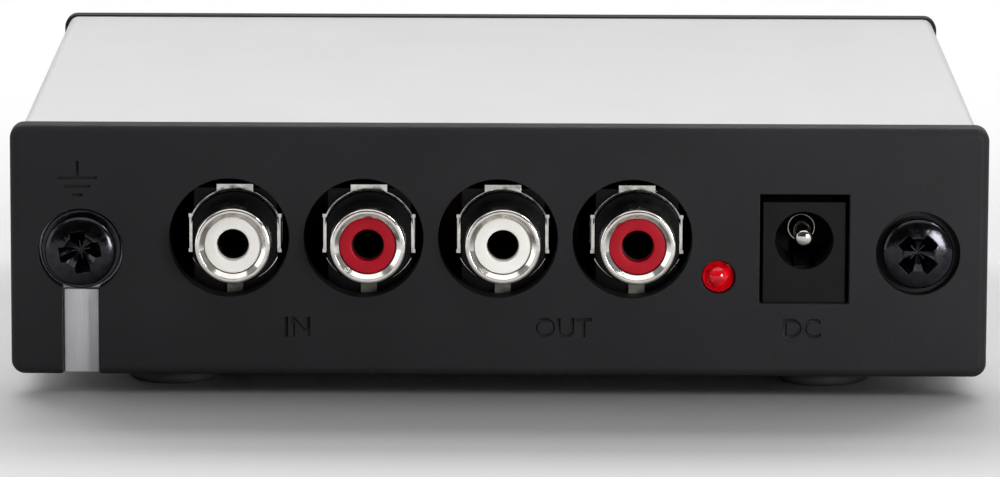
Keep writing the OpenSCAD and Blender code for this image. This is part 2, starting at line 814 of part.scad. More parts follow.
module op_amp_pins() {
    inner = op_amp_size[0] / 2;
    width = op_amp_pin_w;
    top = op_amp_pin_z + op_amp_pin_t;
    color("#c9c9c6") for (k = [0 : len(OP_AMP_PINS) - 1]) {
        p = OP_AMP_PINS[k];
        chip = OP_AMPS[floor(k / 8)];
        out = sign(p[0] - chip[0]);
        on_board(p) {
            translate([-width / 2, -width / 2, -board_t - lead_tail])
                cube([width, width, board_t + lead_tail + top]);
            translate([out > 0 ? inner - op_amp_row / 2 : -width / 2, -width / 2, op_amp_pin_z])
                cube([op_amp_row / 2 - inner + width / 2, width, op_amp_pin_t]);
        }
    }
}

// A round can with the crimped groove near its foot
module can(p, d, h) {
    r = d / 2;
    on_board(p) rotate_extrude() polygon([
        [0, 0], [r, 0], [r, crimp_z], [r - crimp, crimp_z + crimp_step],
        [r - crimp, crimp_z + 2 * crimp_step], [r, crimp_z + 3 * crimp_step],
        [r, h - crimp_step], [r - crimp_step, h], [0, h]]);
}

module supply_capacitors() {
    color("#23263a") for (p = SUPPLY_CAPS) can(p, supply_cap_d, supply_cap_h);
}

module coupling_capacitors() {
    color("#2c3f2a") for (p = COUPLING_CAPS) can(p, coupling_cap_d, coupling_cap_h);
}

module capacitor_leads() {
    color("#c9c9c6") for (p = CAN_LEADS) straight_lead(p);
}

module film_capacitors() {
    color("#a3302c") for (p = FILM_CAPS) on_board(p)
        translate([-film_len / 2, -film_t / 2, 0]) cube([film_len, film_t, film_h]);
}

module film_leads() {
    color("#c9c9c6") for (p = FILM_LEADS) straight_lead(p);
}

// An axial body lying along Y over the board
module axial_body(p, r, len) {
    on_board(p) translate([0, -len / 2, r]) rotate([-90, 0, 0]) cylinder(r = r, h = len);
}

// The two bent leads of an axial part
module axial_leads(p, r, len, span) {
    for (s = [-1, 1]) {
        straight_lead([p[0], p[1] + s * span / 2], r);
        on_board(p) translate([0, s * span / 2, r]) sphere(lead_d / 2);
        on_board(p) translate([0, s > 0 ? len / 2 : -span / 2, r]) rotate([-90, 0, 0])
            cylinder(r = lead_d / 2, h = (span - len) / 2);
    }
}

module resistors() {
    color("#c9b48a") for (p = RESISTORS) axial_body(p, resistor_d / 2, resistor_len);
}

module resistor_leads() {
    color("#c9c9c6") for (p = RESISTORS) axial_leads(p, resistor_d / 2, resistor_len, resistor_span);
}

module regulators() {
    color("#1d1d1f") for (p = REGULATORS)
        on_board(p) translate([0, 0, regulator_rise]) difference() {
            cylinder(r = regulator_r, h = regulator_h);
            translate([-regulator_r, regulator_flat, -over])
                cube([2 * regulator_r, regulator_r, regulator_h + 2 * over]);
        }
}

module regulator_leads() {
    color("#c9c9c6") for (p = REGULATOR_LEADS) straight_lead(p, regulator_rise);
}

// Each diode is one piece with its leads
module diodes() {
    color("#2a2a2c") for (p = DIODES) {
        axial_body(p, diode_r, diode_len);
        axial_leads(p, diode_r, diode_len, diode_span);
    }
}

// A wound ferrite drum on its two leads
module inductor() {
    r = inductor_d / 2;
    color("#3a3a3c") {
        on_board(INDUCTOR) rotate_extrude() polygon([
            [0, 0], [r, 0], [r, bobbin_t], [r - bobbin_step, bobbin_t],
            [r - bobbin_step, inductor_h - bobbin_t], [r, inductor_h - bobbin_t],
            [r, inductor_h], [0, inductor_h]]);
        for (p = INDUCTOR_LEADS) straight_lead(p, stub);
    }
}

// ---- Drawing -------------------------------------------------------------------

case_sleeve();
rear_panel();
front_panel();
ground_plate();
ground_washer();
ground_screw();
case_screw();
circuit_board();
for (i = [1 : 4]) foot(i);
for (i = JACKS) jack_body(i);
for (i = JACKS) jack_frame(i);
for (i = JACKS) jack_collar(i);
for (i = JACKS) jack_barrel(i);
for (i = JACKS) jack_insulator(i);
for (i = JACKS) jack_contact(i);
power_body();
power_pin();
power_spring();
power_terminal();
led_lens();
led_leads();
op_amp(1);  // op_amp_1
op_amp(2);  // op_amp_2
op_amp_pins();
supply_capacitors();
coupling_capacitors();
capacitor_leads();
film_capacitors();
film_leads();
resistors();
resistor_leads();
regulators();
regulator_leads();
diodes();
inductor();
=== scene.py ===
"""Looks of the phono preamplifier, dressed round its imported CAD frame.

The case lies with its rear panel towards -Y, as in the photograph. Sizes in this file are in
millimetres; a mesh is scaled to metres when it is made. Depths called t run from the rear panel's
face into the case, as they do in the part's source.
"""

import logging
import math
from collections.abc import Iterator
from contextlib import contextmanager
from dataclasses import dataclass
from enum import Enum

import bmesh
import bpy
from mathutils import Matrix, Vector


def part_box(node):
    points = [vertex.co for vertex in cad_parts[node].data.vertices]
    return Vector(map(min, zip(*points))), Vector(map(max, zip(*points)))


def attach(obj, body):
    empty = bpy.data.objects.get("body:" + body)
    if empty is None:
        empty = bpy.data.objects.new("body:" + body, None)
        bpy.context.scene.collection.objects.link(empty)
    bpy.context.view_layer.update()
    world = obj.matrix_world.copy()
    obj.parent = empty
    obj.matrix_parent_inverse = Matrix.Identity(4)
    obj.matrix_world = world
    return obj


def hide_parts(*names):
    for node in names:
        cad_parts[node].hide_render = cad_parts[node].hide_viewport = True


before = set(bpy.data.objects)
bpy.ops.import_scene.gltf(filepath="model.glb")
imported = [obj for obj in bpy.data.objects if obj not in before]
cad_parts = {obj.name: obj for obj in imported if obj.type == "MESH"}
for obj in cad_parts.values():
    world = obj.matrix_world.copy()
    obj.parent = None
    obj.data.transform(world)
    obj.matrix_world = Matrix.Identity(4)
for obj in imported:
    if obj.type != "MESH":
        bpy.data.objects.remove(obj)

log = logging.getLogger("phono_preamp")

Point = tuple[float, float]
Colour = tuple[float, float, float, float]
Piece = bpy.types.Object
Output = bpy.types.NodeSocket

MM = 0.001
WHITE = (1.0, 1.0, 1.0, 1.0)
CASE_BODY = "case"
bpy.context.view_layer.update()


class Slot(Enum):
    """The record's material slots."""

    SLEEVE = "satin_aluminium"
    PANEL = "black_moulding"
    RUBBER = "foot_rubber"
    PLATE = "bare_steel"
    SCREW = "black_steel"
    BOARD = "green_laminate"
    SOCKET = "socket_moulding"
    NICKEL = "nickel_plate"
    WHITE = "white_insulator"
    RED = "red_insulator"
    CONTACT = "contact_metal"
    LENS = "red_lens"
    LEADS = "tinned_leads"
    EPOXY = "black_epoxy"
    BLUE_CAN = "dark_blue_sleeve"
    GREEN_CAN = "dark_green_sleeve"
    FILM = "red_box"
    RESISTOR = "beige_lacquer"
    FERRITE = "ferrite"


# ---- Node helpers ------------------------------------------------------------------


def linear(code: str) -> Colour:
    """Turns an sRGB hex colour into the linear values that shaders take.

    Args:
        code: a colour such as "#2a2a2c".

    Returns:
        Linear red, green, blue and an alpha of 1.
    """
    parts = [int(code[k : k + 2], 16) / 255 for k in (1, 3, 5)]
    red, green, blue = (c / 12.92 if c <= 0.04045 else ((c + 0.055) / 1.055) ** 2.4 for c in parts)
    return red, green, blue, 1.0


def per_mm(size: float) -> float:
    """Gives the texture scale at which a pattern's features are that many millimetres across."""
    return 1.0 / (size * MM)


def add_node(tree: bpy.types.NodeTree, kind: str, inputs: dict | None = None,
             **settings) -> bpy.types.Node:
    """Adds a node with its settings and its inputs.

    Args:
        tree: the node tree that gets the node.
        kind: the node's type, such as "ShaderNodeBump".
        inputs: what each input takes, by its name or number: a value, or another node's output.
        settings: the node's own properties.

    Returns:
        The new node.
    """
    node = tree.nodes.new(kind)
    for name, value in settings.items():
        setattr(node, name, value)
    for key, value in (inputs or {}).items():
        if isinstance(value, Output):
            tree.links.new(value, node.inputs[key])
        else:
            node.inputs[key].default_value = value
    return node


def empty_tree(owner: bpy.types.Material | bpy.types.World) -> bpy.types.NodeTree:
    """Gives a material or a world a node tree with nothing in it.

    Args:
        owner: the material or the world.

    Returns:
        The empty tree.
    """
    owner.use_nodes = True
    owner.node_tree.nodes.clear()
    return owner.node_tree


# ---- Finishes ----------------------------------------------------------------------


class Surface:
    """A material's nodes: its shader, and the Object coordinates that its patterns read."""

    def __init__(self, name: str, colour: str, roughness: float) -> None:
        """Makes the material, with one Principled shader.

        Args:
            name: the material's name.
            colour: its sRGB colour.
            roughness: the shader's roughness.
        """
        self.made = bpy.data.materials.new(name)
        self.made.diffuse_color = linear(colour)
        self.tree = empty_tree(self.made)
        self.shader = add_node(self.tree, "ShaderNodeBsdfPrincipled", {
            "Base Color": linear(colour), "Roughness": roughness})
        add_node(self.tree, "ShaderNodeOutputMaterial", {"Surface": self.shader.outputs["BSDF"]})
        self.place = add_node(self.tree, "ShaderNodeTexCoord").outputs["Object"]
        self.below: Output | None = None

    def set(self, values: dict) -> None:
        """Sets the shader's own sockets."""
        for name, value in values.items():
            self.shader.inputs[name].default_value = value

    def vary(self, size: float, low: float = 0.0, high: float = 1.0, detail: float = 2.0,
             stretch: tuple | None = None) -> Output:
        """Gives a value that wanders between two limits.

        Args:
            size: the pattern's feature size, in millimetres.
            low: the value in its low spots.
            high: the value in its high spots.
            detail: how many finer octaves it has.
            stretch: what X, Y and Z are multiplied by, for a pattern that is drawn out one way.

        Returns:
            The varying value.
        """
        place = self.place
        if stretch:
            place = add_node(self.tree, "ShaderNodeMapping", {
                "Vector": place, "Scale": stretch}).outputs["Vector"]
        noise = add_node(self.tree, "ShaderNodeTexNoise", {
            "Vector": place, "Scale": per_mm(size), "Detail": detail, "Roughness": 0.5})
        return add_node(self.tree, "ShaderNodeMapRange", {
            "Value": noise.outputs["Fac"], "From Min": 0.3, "From Max": 0.7,
            "To Min": low, "To Max": high}).outputs["Result"]

    def tint(self, amount: Output, low: str, high: str) -> None:
        """Colours the surface between two colours.

        Args:
            amount: how much of the second colour shows, from 0 to 1.
            low: the sRGB colour where the amount is 0.
            high: the sRGB colour where it is 1.
        """
        mix = add_node(self.tree, "ShaderNodeMix", {
            0: amount, 6: linear(low), 7: linear(high)}, data_type="RGBA")
        self.tree.links.new(mix.outputs[2], self.shader.inputs["Base Color"])

    def wear(self, size: float, roughness: float, less: float, more: float | None = None) -> None:
        """Lets the roughness wander, over spots of one size.

        Args:
            size: the spots' size, in millimetres.
            roughness: the finish's own roughness.
            less: how much smoother the smoothest spots are.
            more: how much rougher the roughest are; as much again, if not given.
        """
        high = roughness + (less if more is None else more)
        self.tree.links.new(self.vary(size, roughness - less, high),
                            self.shader.inputs["Roughness"])

    def bump(self, height: Output, depth: float) -> None:
        """Raises bumps on top of the ones before.

        Args:
            height: the bumps' height, from 0 to 1.
            depth: what a height of 1 comes to, in millimetres.
        """
        inputs = {"Height": height, "Distance": depth * MM, "Strength": 1.0}
        if self.below:
            inputs["Normal"] = self.below
        self.below = add_node(self.tree, "ShaderNodeBump", inputs).outputs["Normal"]
        self.tree.links.new(self.below, self.shader.inputs["Normal"])


@dataclass(frozen=True)
class Finish:
    """A surface finish: what it is made of and how its surface was made."""

    name: str
    slot: Slot
    colour: str
    roughness: float

    def material(self) -> bpy.types.Material:
        """Gives the finish's material, and makes it the first time.

        Returns:
            The material.
        """
        found = bpy.data.materials.get(self.name)
        if found:
            return found
        surface = Surface(self.name, self.colour, self.roughness)
        self.lay(surface)
        return surface.made

    def lay(self, on: Surface) -> None:
        """Lays the finish's own pattern on a surface."""
        raise NotImplementedError


@dataclass(frozen=True)
class AnodisedAluminium(Finish):
    """Extruded aluminium, blasted and clear anodised: a soft grey with very faint die lines."""

    bright: str = "#d9d9da"  # its brighter clouds
    cloud: float = 14.0
    grain: float = 0.22  # the blasted grain
    grain_depth: float = 0.004
    line_width: float = 0.6  # a die line
    line_depth: float = 0.0005
    line_stretch: tuple = (1.0, 0.004, 1.0)  # die lines run along the extrusion

    def lay(self, on: Surface) -> None:
        """Lays blasted grain over die lines that run the length of the extrusion.

        Args:
            on: the surface to lay it on.
        """
        on.set({"Metallic": 1.0})
        on.tint(on.vary(self.cloud), self.colour, self.bright)
        on.wear(9.0, self.roughness, 0.004)
        on.bump(on.vary(self.line_width, detail=3.0, stretch=self.line_stretch), self.line_depth)
        on.bump(on.vary(self.grain), self.grain_depth)


@dataclass(frozen=True)
class MouldedAbs(Finish):
    """Black ABS from a spark-eroded mould: an even, fine grain that greys the black a little."""

    high: str = "#28282a"  # where the grain is rubbed or catches dust
    cloud: float = 11.0
    grain: float = 0.24  # the mould's grain, drawn twice as coarse as real so that it shows
    grain_depth: float = 0.012

    def lay(self, on: Surface) -> None:
        """Lays the mould's grain, with slow changes of tone over the panel.

        Args:
            on: the surface to lay it on.
        """
        on.set({"IOR": 1.54, "Specular IOR Level": 0.07})
        on.tint(on.vary(self.cloud, 0.15, 0.85, 3.0), self.colour, self.high)
        on.wear(6.0, self.roughness, 0.05)
        on.bump(on.vary(self.grain, detail=3.0), self.grain_depth)


@dataclass(frozen=True)
class GlossMoulding(Finish):
    """Smooth injection moulded plastic: an even colour, a soft gloss and shallow flow marks."""

    low: str  # its darker swirls
    specular: float = 0.5
    flow: float = 2.2  # the flow marks
    flow_depth: float = 0.02
    ior: float = 1.5

    def lay(self, on: Surface) -> None:
        """Lays slow flow marks and a small change of tone.

        Args:
            on: the surface to lay it on.
        """
        on.set({"IOR": self.ior, "Specular IOR Level": self.specular})
        swirl = on.vary(self.flow)
        on.tint(swirl, self.low, self.colour)
        on.wear(1.1, self.roughness, 0.05, 0.07)
        on.bump(swirl, self.flow_depth)


@dataclass(frozen=True)
class PlatedMetal(Finish):
    """Plated metal, such as bright nickel on turned brass: mirror-like, with a faint ripple."""

    low: str  # where the plating is thin or stained
    ripple: float = 1.3  # the ripple in the plating
    ripple_depth: float = 0.03
    fine: float = 0.25  # the fine pits and wipe marks
    fine_depth: float = 0.001

    def lay(self, on: Surface) -> None:
        """Lays the ripple, the fine pits and the stained spots.

        Args:
            on: the surface to lay it on.
        """
        on.set({"Metallic": 1.0})
        ripple = on.vary(self.ripple, detail=1.0)
        on.tint(ripple, self.low, self.colour)
        on.wear(0.8, self.roughness, self.roughness * 0.3, self.roughness * 0.4)
        on.bump(ripple, self.ripple_depth)
        on.bump(on.vary(self.fine), self.fine_depth)


@dataclass(frozen=True)
class BrushedSteel(Finish):
    """Zinc plated strip with the fine lengthwise scratches of its rolling."""

    low: str  # in its scratches
    scratch: float = 0.12
    scratch_depth: float = 0.003
    stretch: tuple = (1.0, 1.0, 0.03)  # scratches run up and down the plate

    def lay(self, on: Surface) -> None:
        """Lays scratches that run up and down the plate.

        Args:
            on: the surface to lay it on.
        """
        on.set({"Metallic": 1.0})
        scratches = on.vary(self.scratch, detail=3.0, stretch=self.stretch)
        on.tint(scratches, self.low, self.colour)
        on.wear(1.5, self.roughness, 0.06)
        on.bump(scratches, self.scratch_depth)


@dataclass(frozen=True)
class Rubber(Finish):
    """Moulded rubber: matt, a little dusty, with a fine skin."""

    dust: str = "#2c2b2a"
    skin: float = 0.35
    skin_depth: float = 0.02

    def lay(self, on: Surface) -> None:
        """Lays the skin and spots of dust.

        Args:
            on: the surface to lay it on.
        """
        on.set({"IOR": 1.52})
        on.tint(on.vary(3.0, 0.0, 0.7, 3.0), self.colour, self.dust)
        on.bump(on.vary(self.skin, detail=3.0), self.skin_depth)


@dataclass(frozen=True)
class CastEpoxy(Finish):
    """Red cast epoxy, as of an indicator: clear enough to glow from within, with a hard gloss."""

    deep: str  # where it is thick
    scatter: float = 0.7  # how far light spreads inside it, in millimetres

    def lay(self, on: Surface) -> None:
        """Lays faint streaks of dye, and lets light spread inside.

        Args:
            on: the surface to lay it on.
        """
        on.set({"IOR": 1.5, "Subsurface Weight": 0.5, "Subsurface Radius": (1.0, 0.08, 0.06),
                "Subsurface Scale": self.scatter * MM, "Specular IOR Level": 0.3,
                "Coat Weight": 0.5})
        on.tint(on.vary(0.9, detail=1.0), self.deep, self.colour)


# Aluminium sleeve: pale, even and soft, with no mirror in it.
SATIN_ALUMINIUM = AnodisedAluminium("aluminium_extruded_anodised", Slot.SLEEVE, "#d7d7d8", 0.36)
# Case mouldings: a dull black that goes grey where light rakes its grain.
PANEL_ABS = MouldedAbs("abs_black_spark_grain", Slot.PANEL, "#232325", 0.5)
# Socket bodies and collars: the deepest black, with a weak soft gloss.
SOCKET_PBT = GlossMoulding(
    "pbt_black_moulded", Slot.SOCKET, "#09090a", 0.28, low="#060607", specular=0.12)
# Power socket: a black as dull as the panel, so that only its edges part the two.
POWER_PBT = GlossMoulding(
    "pbt_black_satin_moulded", Slot.SOCKET, "#18181a", 0.5, low="#141416", specular=0.08)
# Insulators: a warm, milky white and a full red, both with a soft gloss.
WHITE_PP = GlossMoulding("polypropylene_white_moulded", Slot.WHITE, "#f6f4ef", 0.38, low="#efece6")
RED_PP = GlossMoulding(
    "polypropylene_red_moulded", Slot.RED, "#aa0a20", 0.4, low="#9c081c", specular=0.2)
# Barrels and pin: a warm, sharp mirror that goes from white to black over each curve.
BRIGHT_NICKEL = PlatedMetal(
    "brass_turned_nickel_plated", Slot.NICKEL, "#e2dfda", 0.14, low="#cfcac4")
# Socket frames: the same plating on sheet, a little softer.
SHEET_NICKEL = PlatedMetal("steel_sheet_nickel_plated", Slot.NICKEL, "#d9d7d3", 0.2, low="#c4c1bc")
# Frame legs: a darker, rougher copy of that plating, painted shade for the shadow under the
# barrels.
LEG_PAINTED_SHADE = PlatedMetal("steel_leg_nickel_painted_shade", Slot.NICKEL, "#777670", 0.5, low="#65645e")
# Contacts deep in the sockets: bronze painted dark, painted shade for the shadow deep in the holes.
CONTACT_PAINTED_SHADE = PlatedMetal("phosphor_bronze_painted_shade", Slot.CONTACT, "#3a352c", 0.45, low="#2a261f")
# Ground strip: a pale, even grey streaked along its length.
ZINC_STRIP = BrushedSteel("steel_strip_zinc_plated", Slot.PLATE, "#e2e2e4", 0.5, low="#d8d8db")
# Screws and washer: a blue-black mirror with sharp glints.
BLACK_ZINC = PlatedMetal("steel_black_zinc_plated", Slot.SCREW, "#37373b", 0.16, low="#2c2c30",
                         ripple=0.8, ripple_depth=0.012)
# Leads and pins: a soft white metal.
TINNED_WIRE = PlatedMetal("copper_wire_tinned", Slot.LEADS, "#c9c9c6", 0.32, low="#b5b5b1")
# Chip packages: a matt, slightly mottled black.
BLACK_MOULD_EPOXY = GlossMoulding(
    "epoxy_black_package", Slot.EPOXY, "#1c1c1d", 0.5, low="#161617", flow=0.5)
# Capacitor sleeves: tight plastic film with a clear gloss.
BLUE_SHRINK = GlossMoulding("pvc_blue_shrink_sleeve", Slot.BLUE_CAN, "#1d2a52", 0.3, low="#182447")
GREEN_SHRINK = GlossMoulding(
    "pvc_green_shrink_sleeve", Slot.GREEN_CAN, "#1c4a35", 0.3, low="#173f2d")
# Film capacitors: dark red boxes with a weak gloss.
RED_BOX = GlossMoulding("polyester_red_box", Slot.FILM, "#7c1d16", 0.4, low="#6c1812", specular=0.3)
# Resistors: uneven beige lacquer.
LACQUER = GlossMoulding(
    "lacquer_beige_dipped", Slot.RESISTOR, "#c9a878", 0.4, low="#bb9968", flow=0.6)
# Circuit board: green resist with slow changes of tone.
LAMINATE = GlossMoulding(
    "fr4_green_solder_resist", Slot.BOARD, "#1c5a36", 0.35, low="#174c2d", flow=5.0)
# Inductor: a dry, dark grey like fired clay.
FERRITE = Rubber("ferrite_fired_grey", Slot.FERRITE, "#2b2b2d", 0.6, dust="#3a3a3c", skin=0.3)
# Feet: matt black that shows its dust.
FOOT_RUBBER = Rubber("rubber_black_moulded", Slot.RUBBER, "#161617", 0.72)
# Indicator: a red that glows from within, under a hard gloss.
RED_EPOXY = CastEpoxy("epoxy_red_cast", Slot.LENS, "#e2051a", 0.05, deep="#b40211")
# The contacts' dark bronze is painted shade; the other inner finishes are the parts' own colours.
INNER_FINISHES = {finish.slot: finish for finish in (
    CONTACT_PAINTED_SHADE, TINNED_WIRE, BLACK_MOULD_EPOXY, BLUE_SHRINK, GREEN_SHRINK, RED_BOX, LACQUER,
    LAMINATE, FERRITE)}


# ---- Mesh helpers ------------------------------------------------------------------


@dataclass(frozen=True)
class Room:
    """The space that CAD nodes take up, from its low to its high corner, in millimetres."""

    low: Vector
    high: Vector

    @classmethod
    def of(cls, *nodes: str) -> "Room":
        """Measures the room of one or more CAD nodes.

        Args:
            nodes: the CAD nodes.

        Returns:
            The room that they fill together.
        """
        boxes = [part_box(node) for node in nodes]
        low = Vector(min(b[0][k] for b in boxes) for k in range(3)) / MM
        high = Vector(max(b[1][k] for b in boxes) for k in range(3)) / MM
        return cls(low, high)

    @property
    def centre(self) -> Vector:
        """The middle of the room."""
        return (self.low + self.high) / 2

    @property
    def front(self) -> Vector:
        """The middle of the side that faces the camera."""
        return Vector((self.centre.x, self.low.y, self.centre.z))

    @property
    def size(self) -> Vector:
        """Its width, depth and height."""
        return self.high - self.low


def new_piece(name: str, data: bpy.types.ID | None = None) -> Piece:
    """Puts an object into the scene, at the origin.

    Args:
        name: its name.
        data: its mesh, lamp, camera or text; an empty mesh, if not given.

    Returns:
        The object.
    """
    piece = bpy.data.objects.new(name, data or bpy.data.meshes.new(name))
    bpy.context.scene.collection.objects.link(piece)
    return piece


def mesh_from(name: str, points: list, faces: list = (), edges: list = ()) -> Piece:
    """Makes a piece from points in millimetres.

    Args:
        name: the piece's name.
        points: its points.
        faces: the corners of each face, as numbers into points.
        edges: loose edges, for a profile.

    Returns:
        The piece.
    """
    mesh = bpy.data.meshes.new(name)
    mesh.from_pydata([tuple(c * MM for c in p) for p in points], list(edges), list(faces))
    mesh.update()
    return new_piece(name, mesh)


@contextmanager
def opened(piece: Piece, *sources: bpy.types.Mesh) -> Iterator[bmesh.types.BMesh]:
    """Opens a piece's mesh for editing, or other meshes that it gets in its place.

    Args:
        piece: the piece that gets the edited shape.
        sources: the meshes that the shape starts from, if not the piece's own.

    Yields:
        The shape to edit.
    """
    shape = bmesh.new()
    for source in sources or (piece.data,):
        shape.from_mesh(source)
    yield shape
    shape.to_mesh(piece.data)
    shape.free()


def keep_shape(piece: Piece) -> None:
    """Makes a piece's modifiers part of its mesh and removes them.

    Args:
        piece: the piece.
    """
    graph = bpy.context.evaluated_depsgraph_get()
    made = bpy.data.meshes.new_from_object(piece.evaluated_get(graph))
    piece.modifiers.clear()
    old = piece.data
    piece.data = made
    made.name = piece.name
    if old.users == 0:
        bpy.data.meshes.remove(old)


def modify(piece: Piece, kind: str, **settings) -> None:
    """Changes a piece by one modifier and keeps the result.

    Args:
        piece: the piece.
        kind: the modifier's type.
        settings: the modifier's settings.
    """
    modifier = piece.modifiers.new(kind.lower(), kind)
    for name, value in settings.items():
        setattr(modifier, name, value)
    keep_shape(piece)


def point_outwards(piece: Piece) -> None:
    """Merges a piece's doubles and turns its faces outwards.

    Args:
        piece: the piece.
    """
    with opened(piece) as shape:
        bmesh.ops.remove_doubles(shape, verts=shape.verts, dist=0.0005 * MM)
        bmesh.ops.recalc_face_normals(shape, faces=shape.faces)


def merged_copy(node: str, name: str) -> Piece:
    """Copies a CAD node's mesh, with its loose triangles merged into flat faces.

    Args:
        node: the CAD node.
        name: the new piece's name.

    Returns:
        The copy, as a piece of its own.
    """
    piece = new_piece(name)
    with opened(piece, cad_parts[node].data) as shape:
        bmesh.ops.remove_doubles(shape, verts=shape.verts, dist=0.002 * MM)
        bmesh.ops.dissolve_limit(shape, angle_limit=math.radians(0.6), verts=shape.verts,
                                 edges=shape.edges)
    return piece


def round_edges(piece: Piece, radius: float, steps: int = 3, sharper_than: float = 38.0) -> None:
    """Rounds a piece's sharp edges.

    Args:
        piece: the piece.
        radius: the edges' radius, in millimetres.
        steps: how many faces make a rounding.
        sharper_than: the angle, in degrees, past which an edge is rounded.
    """
    modify(piece, "BEVEL", width=radius * MM, segments=steps, limit_method="ANGLE",
           angle_limit=math.radians(sharper_than))


def part_at(piece: Piece, height: float) -> None:
    """Draws a level edge round a piece, so that the faces above and below it can differ.

    Args:
        piece: the piece.
        height: the edge's height over the table, in millimetres.
    """
    with opened(piece) as shape:
        bmesh.ops.bisect_plane(shape, geom=[*shape.verts, *shape.edges, *shape.faces],
                               plane_co=(0, 0, height * MM), plane_no=(0, 0, 1))


def cut(piece: Piece, cutter: Piece) -> None:
    """Cuts one closed shape out of another, and removes the cutter."""
    modify(piece, "BOOLEAN", operation="DIFFERENCE", solver="EXACT", object=cutter)
    bpy.data.objects.remove(cutter)


def shade(piece: Piece, crease: float = 38.0) -> None:
    """Shades a piece smooth, but for its flat faces and its sharp edges.

    Args:
        piece: the piece.
        crease: the angle past which an edge is sharp, in degrees.
    """
    piece.data.shade_smooth()
    piece.data.set_sharp_from_angle(angle=math.radians(crease))
    modify(piece, "WEIGHTED_NORMAL", keep_sharp=True)


def join(name: str, pieces: list[Piece]) -> Piece:
    """Joins several pieces into one.

    Args:
        name: the new piece's name.
        pieces: what goes into it, which is removed.

    Returns:
        The joined piece.
    """
    joined = new_piece(name)
    with opened(joined, *(piece.data for piece in pieces)):
        log.debug("%s is joined from %d pieces", name, len(pieces))
    for piece in pieces:
        bpy.data.objects.remove(piece)
    return joined


def slab_from(name: str, outline: list[Point], t0: float, t1: float) -> Piece:
    """Makes a closed slab from an outline in X and Z.

    Args:
        name: the slab's name.
        outline: its outline.
        t0: where it starts along Y.
        t1: where it ends along Y.

    Returns:
        The slab.
    """
    count = len(outline)
    points = [(x, t, z) for t in (t0, t1) for x, z in outline]
    sides = [(k, (k + 1) % count, count + (k + 1) % count, count + k) for k in range(count)]
    piece = mesh_from(name, points, [tuple(range(count)), tuple(range(count, 2 * count)), *sides])
    point_outwards(piece)
    return piece


def box_outline(x0: float, x1: float, z0: float, z1: float) -> list[Point]:
    """Gives a rectangle's four corners."""
    return [(x0, z0), (x1, z0), (x1, z1), (x0, z1)]


def arc(cx: float, cy: float, radius: float, start: float, end: float, steps: int) -> list[Point]:
    """Gives the points of an arc.

    Args:
        cx: its centre, across.
        cy: its centre, along.
        radius: its radius.
        start: the angle it starts at, in degrees.
        end: the angle it ends at, in degrees.
        steps: how many chords it has.

    Returns:
        Its points, both ends included.
    """
    angles = [math.radians(start + (end - start) * k / steps) for k in range(steps + 1)]
    return [(cx + radius * math.cos(a), cy + radius * math.sin(a)) for a in angles]


def finish_piece(piece: Piece, finish: Finish, body: str, *nodes: str) -> None:
    """Dresses a finished piece and ties it to the frame.

    Args:
        piece: the piece.
        finish: its finish.
        body: the CAD body it rides on.
        nodes: the CAD nodes it stands for.
    """
    piece.data.materials.clear()
    piece.data.materials.append(finish.material())
    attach(piece, body)
    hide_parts(*nodes)
    log.info("%s: %d faces in %s, on %s, for %s", piece.name, len(piece.data.polygons), finish.name,
             body, ", ".join(nodes))


def soften(node: str, name: str, finish: Finish, radius: float) -> None:
    """Makes a piece of a CAD node's own shape, with rounded edges, and dresses it.

    Args:
        node: the CAD node.
        name: the piece's name.
        finish: its finish.
        radius: the edges' radius, in millimetres.
    """
    piece = merged_copy(node, name)
    round_edges(piece, radius)
    shade(piece)
    finish_piece(piece, finish, CASE_BODY, node)


# ---- Geometry Nodes ----------------------------------------------------------------


MATH = "ShaderNodeMath"
VECTOR_MATH = "ShaderNodeVectorMath"
SPLIT = "ShaderNodeSeparateXYZ"
POSITION = "GeometryNodeInputPosition"
AT_POINTS = "GeometryNodeInstanceOnPoints"


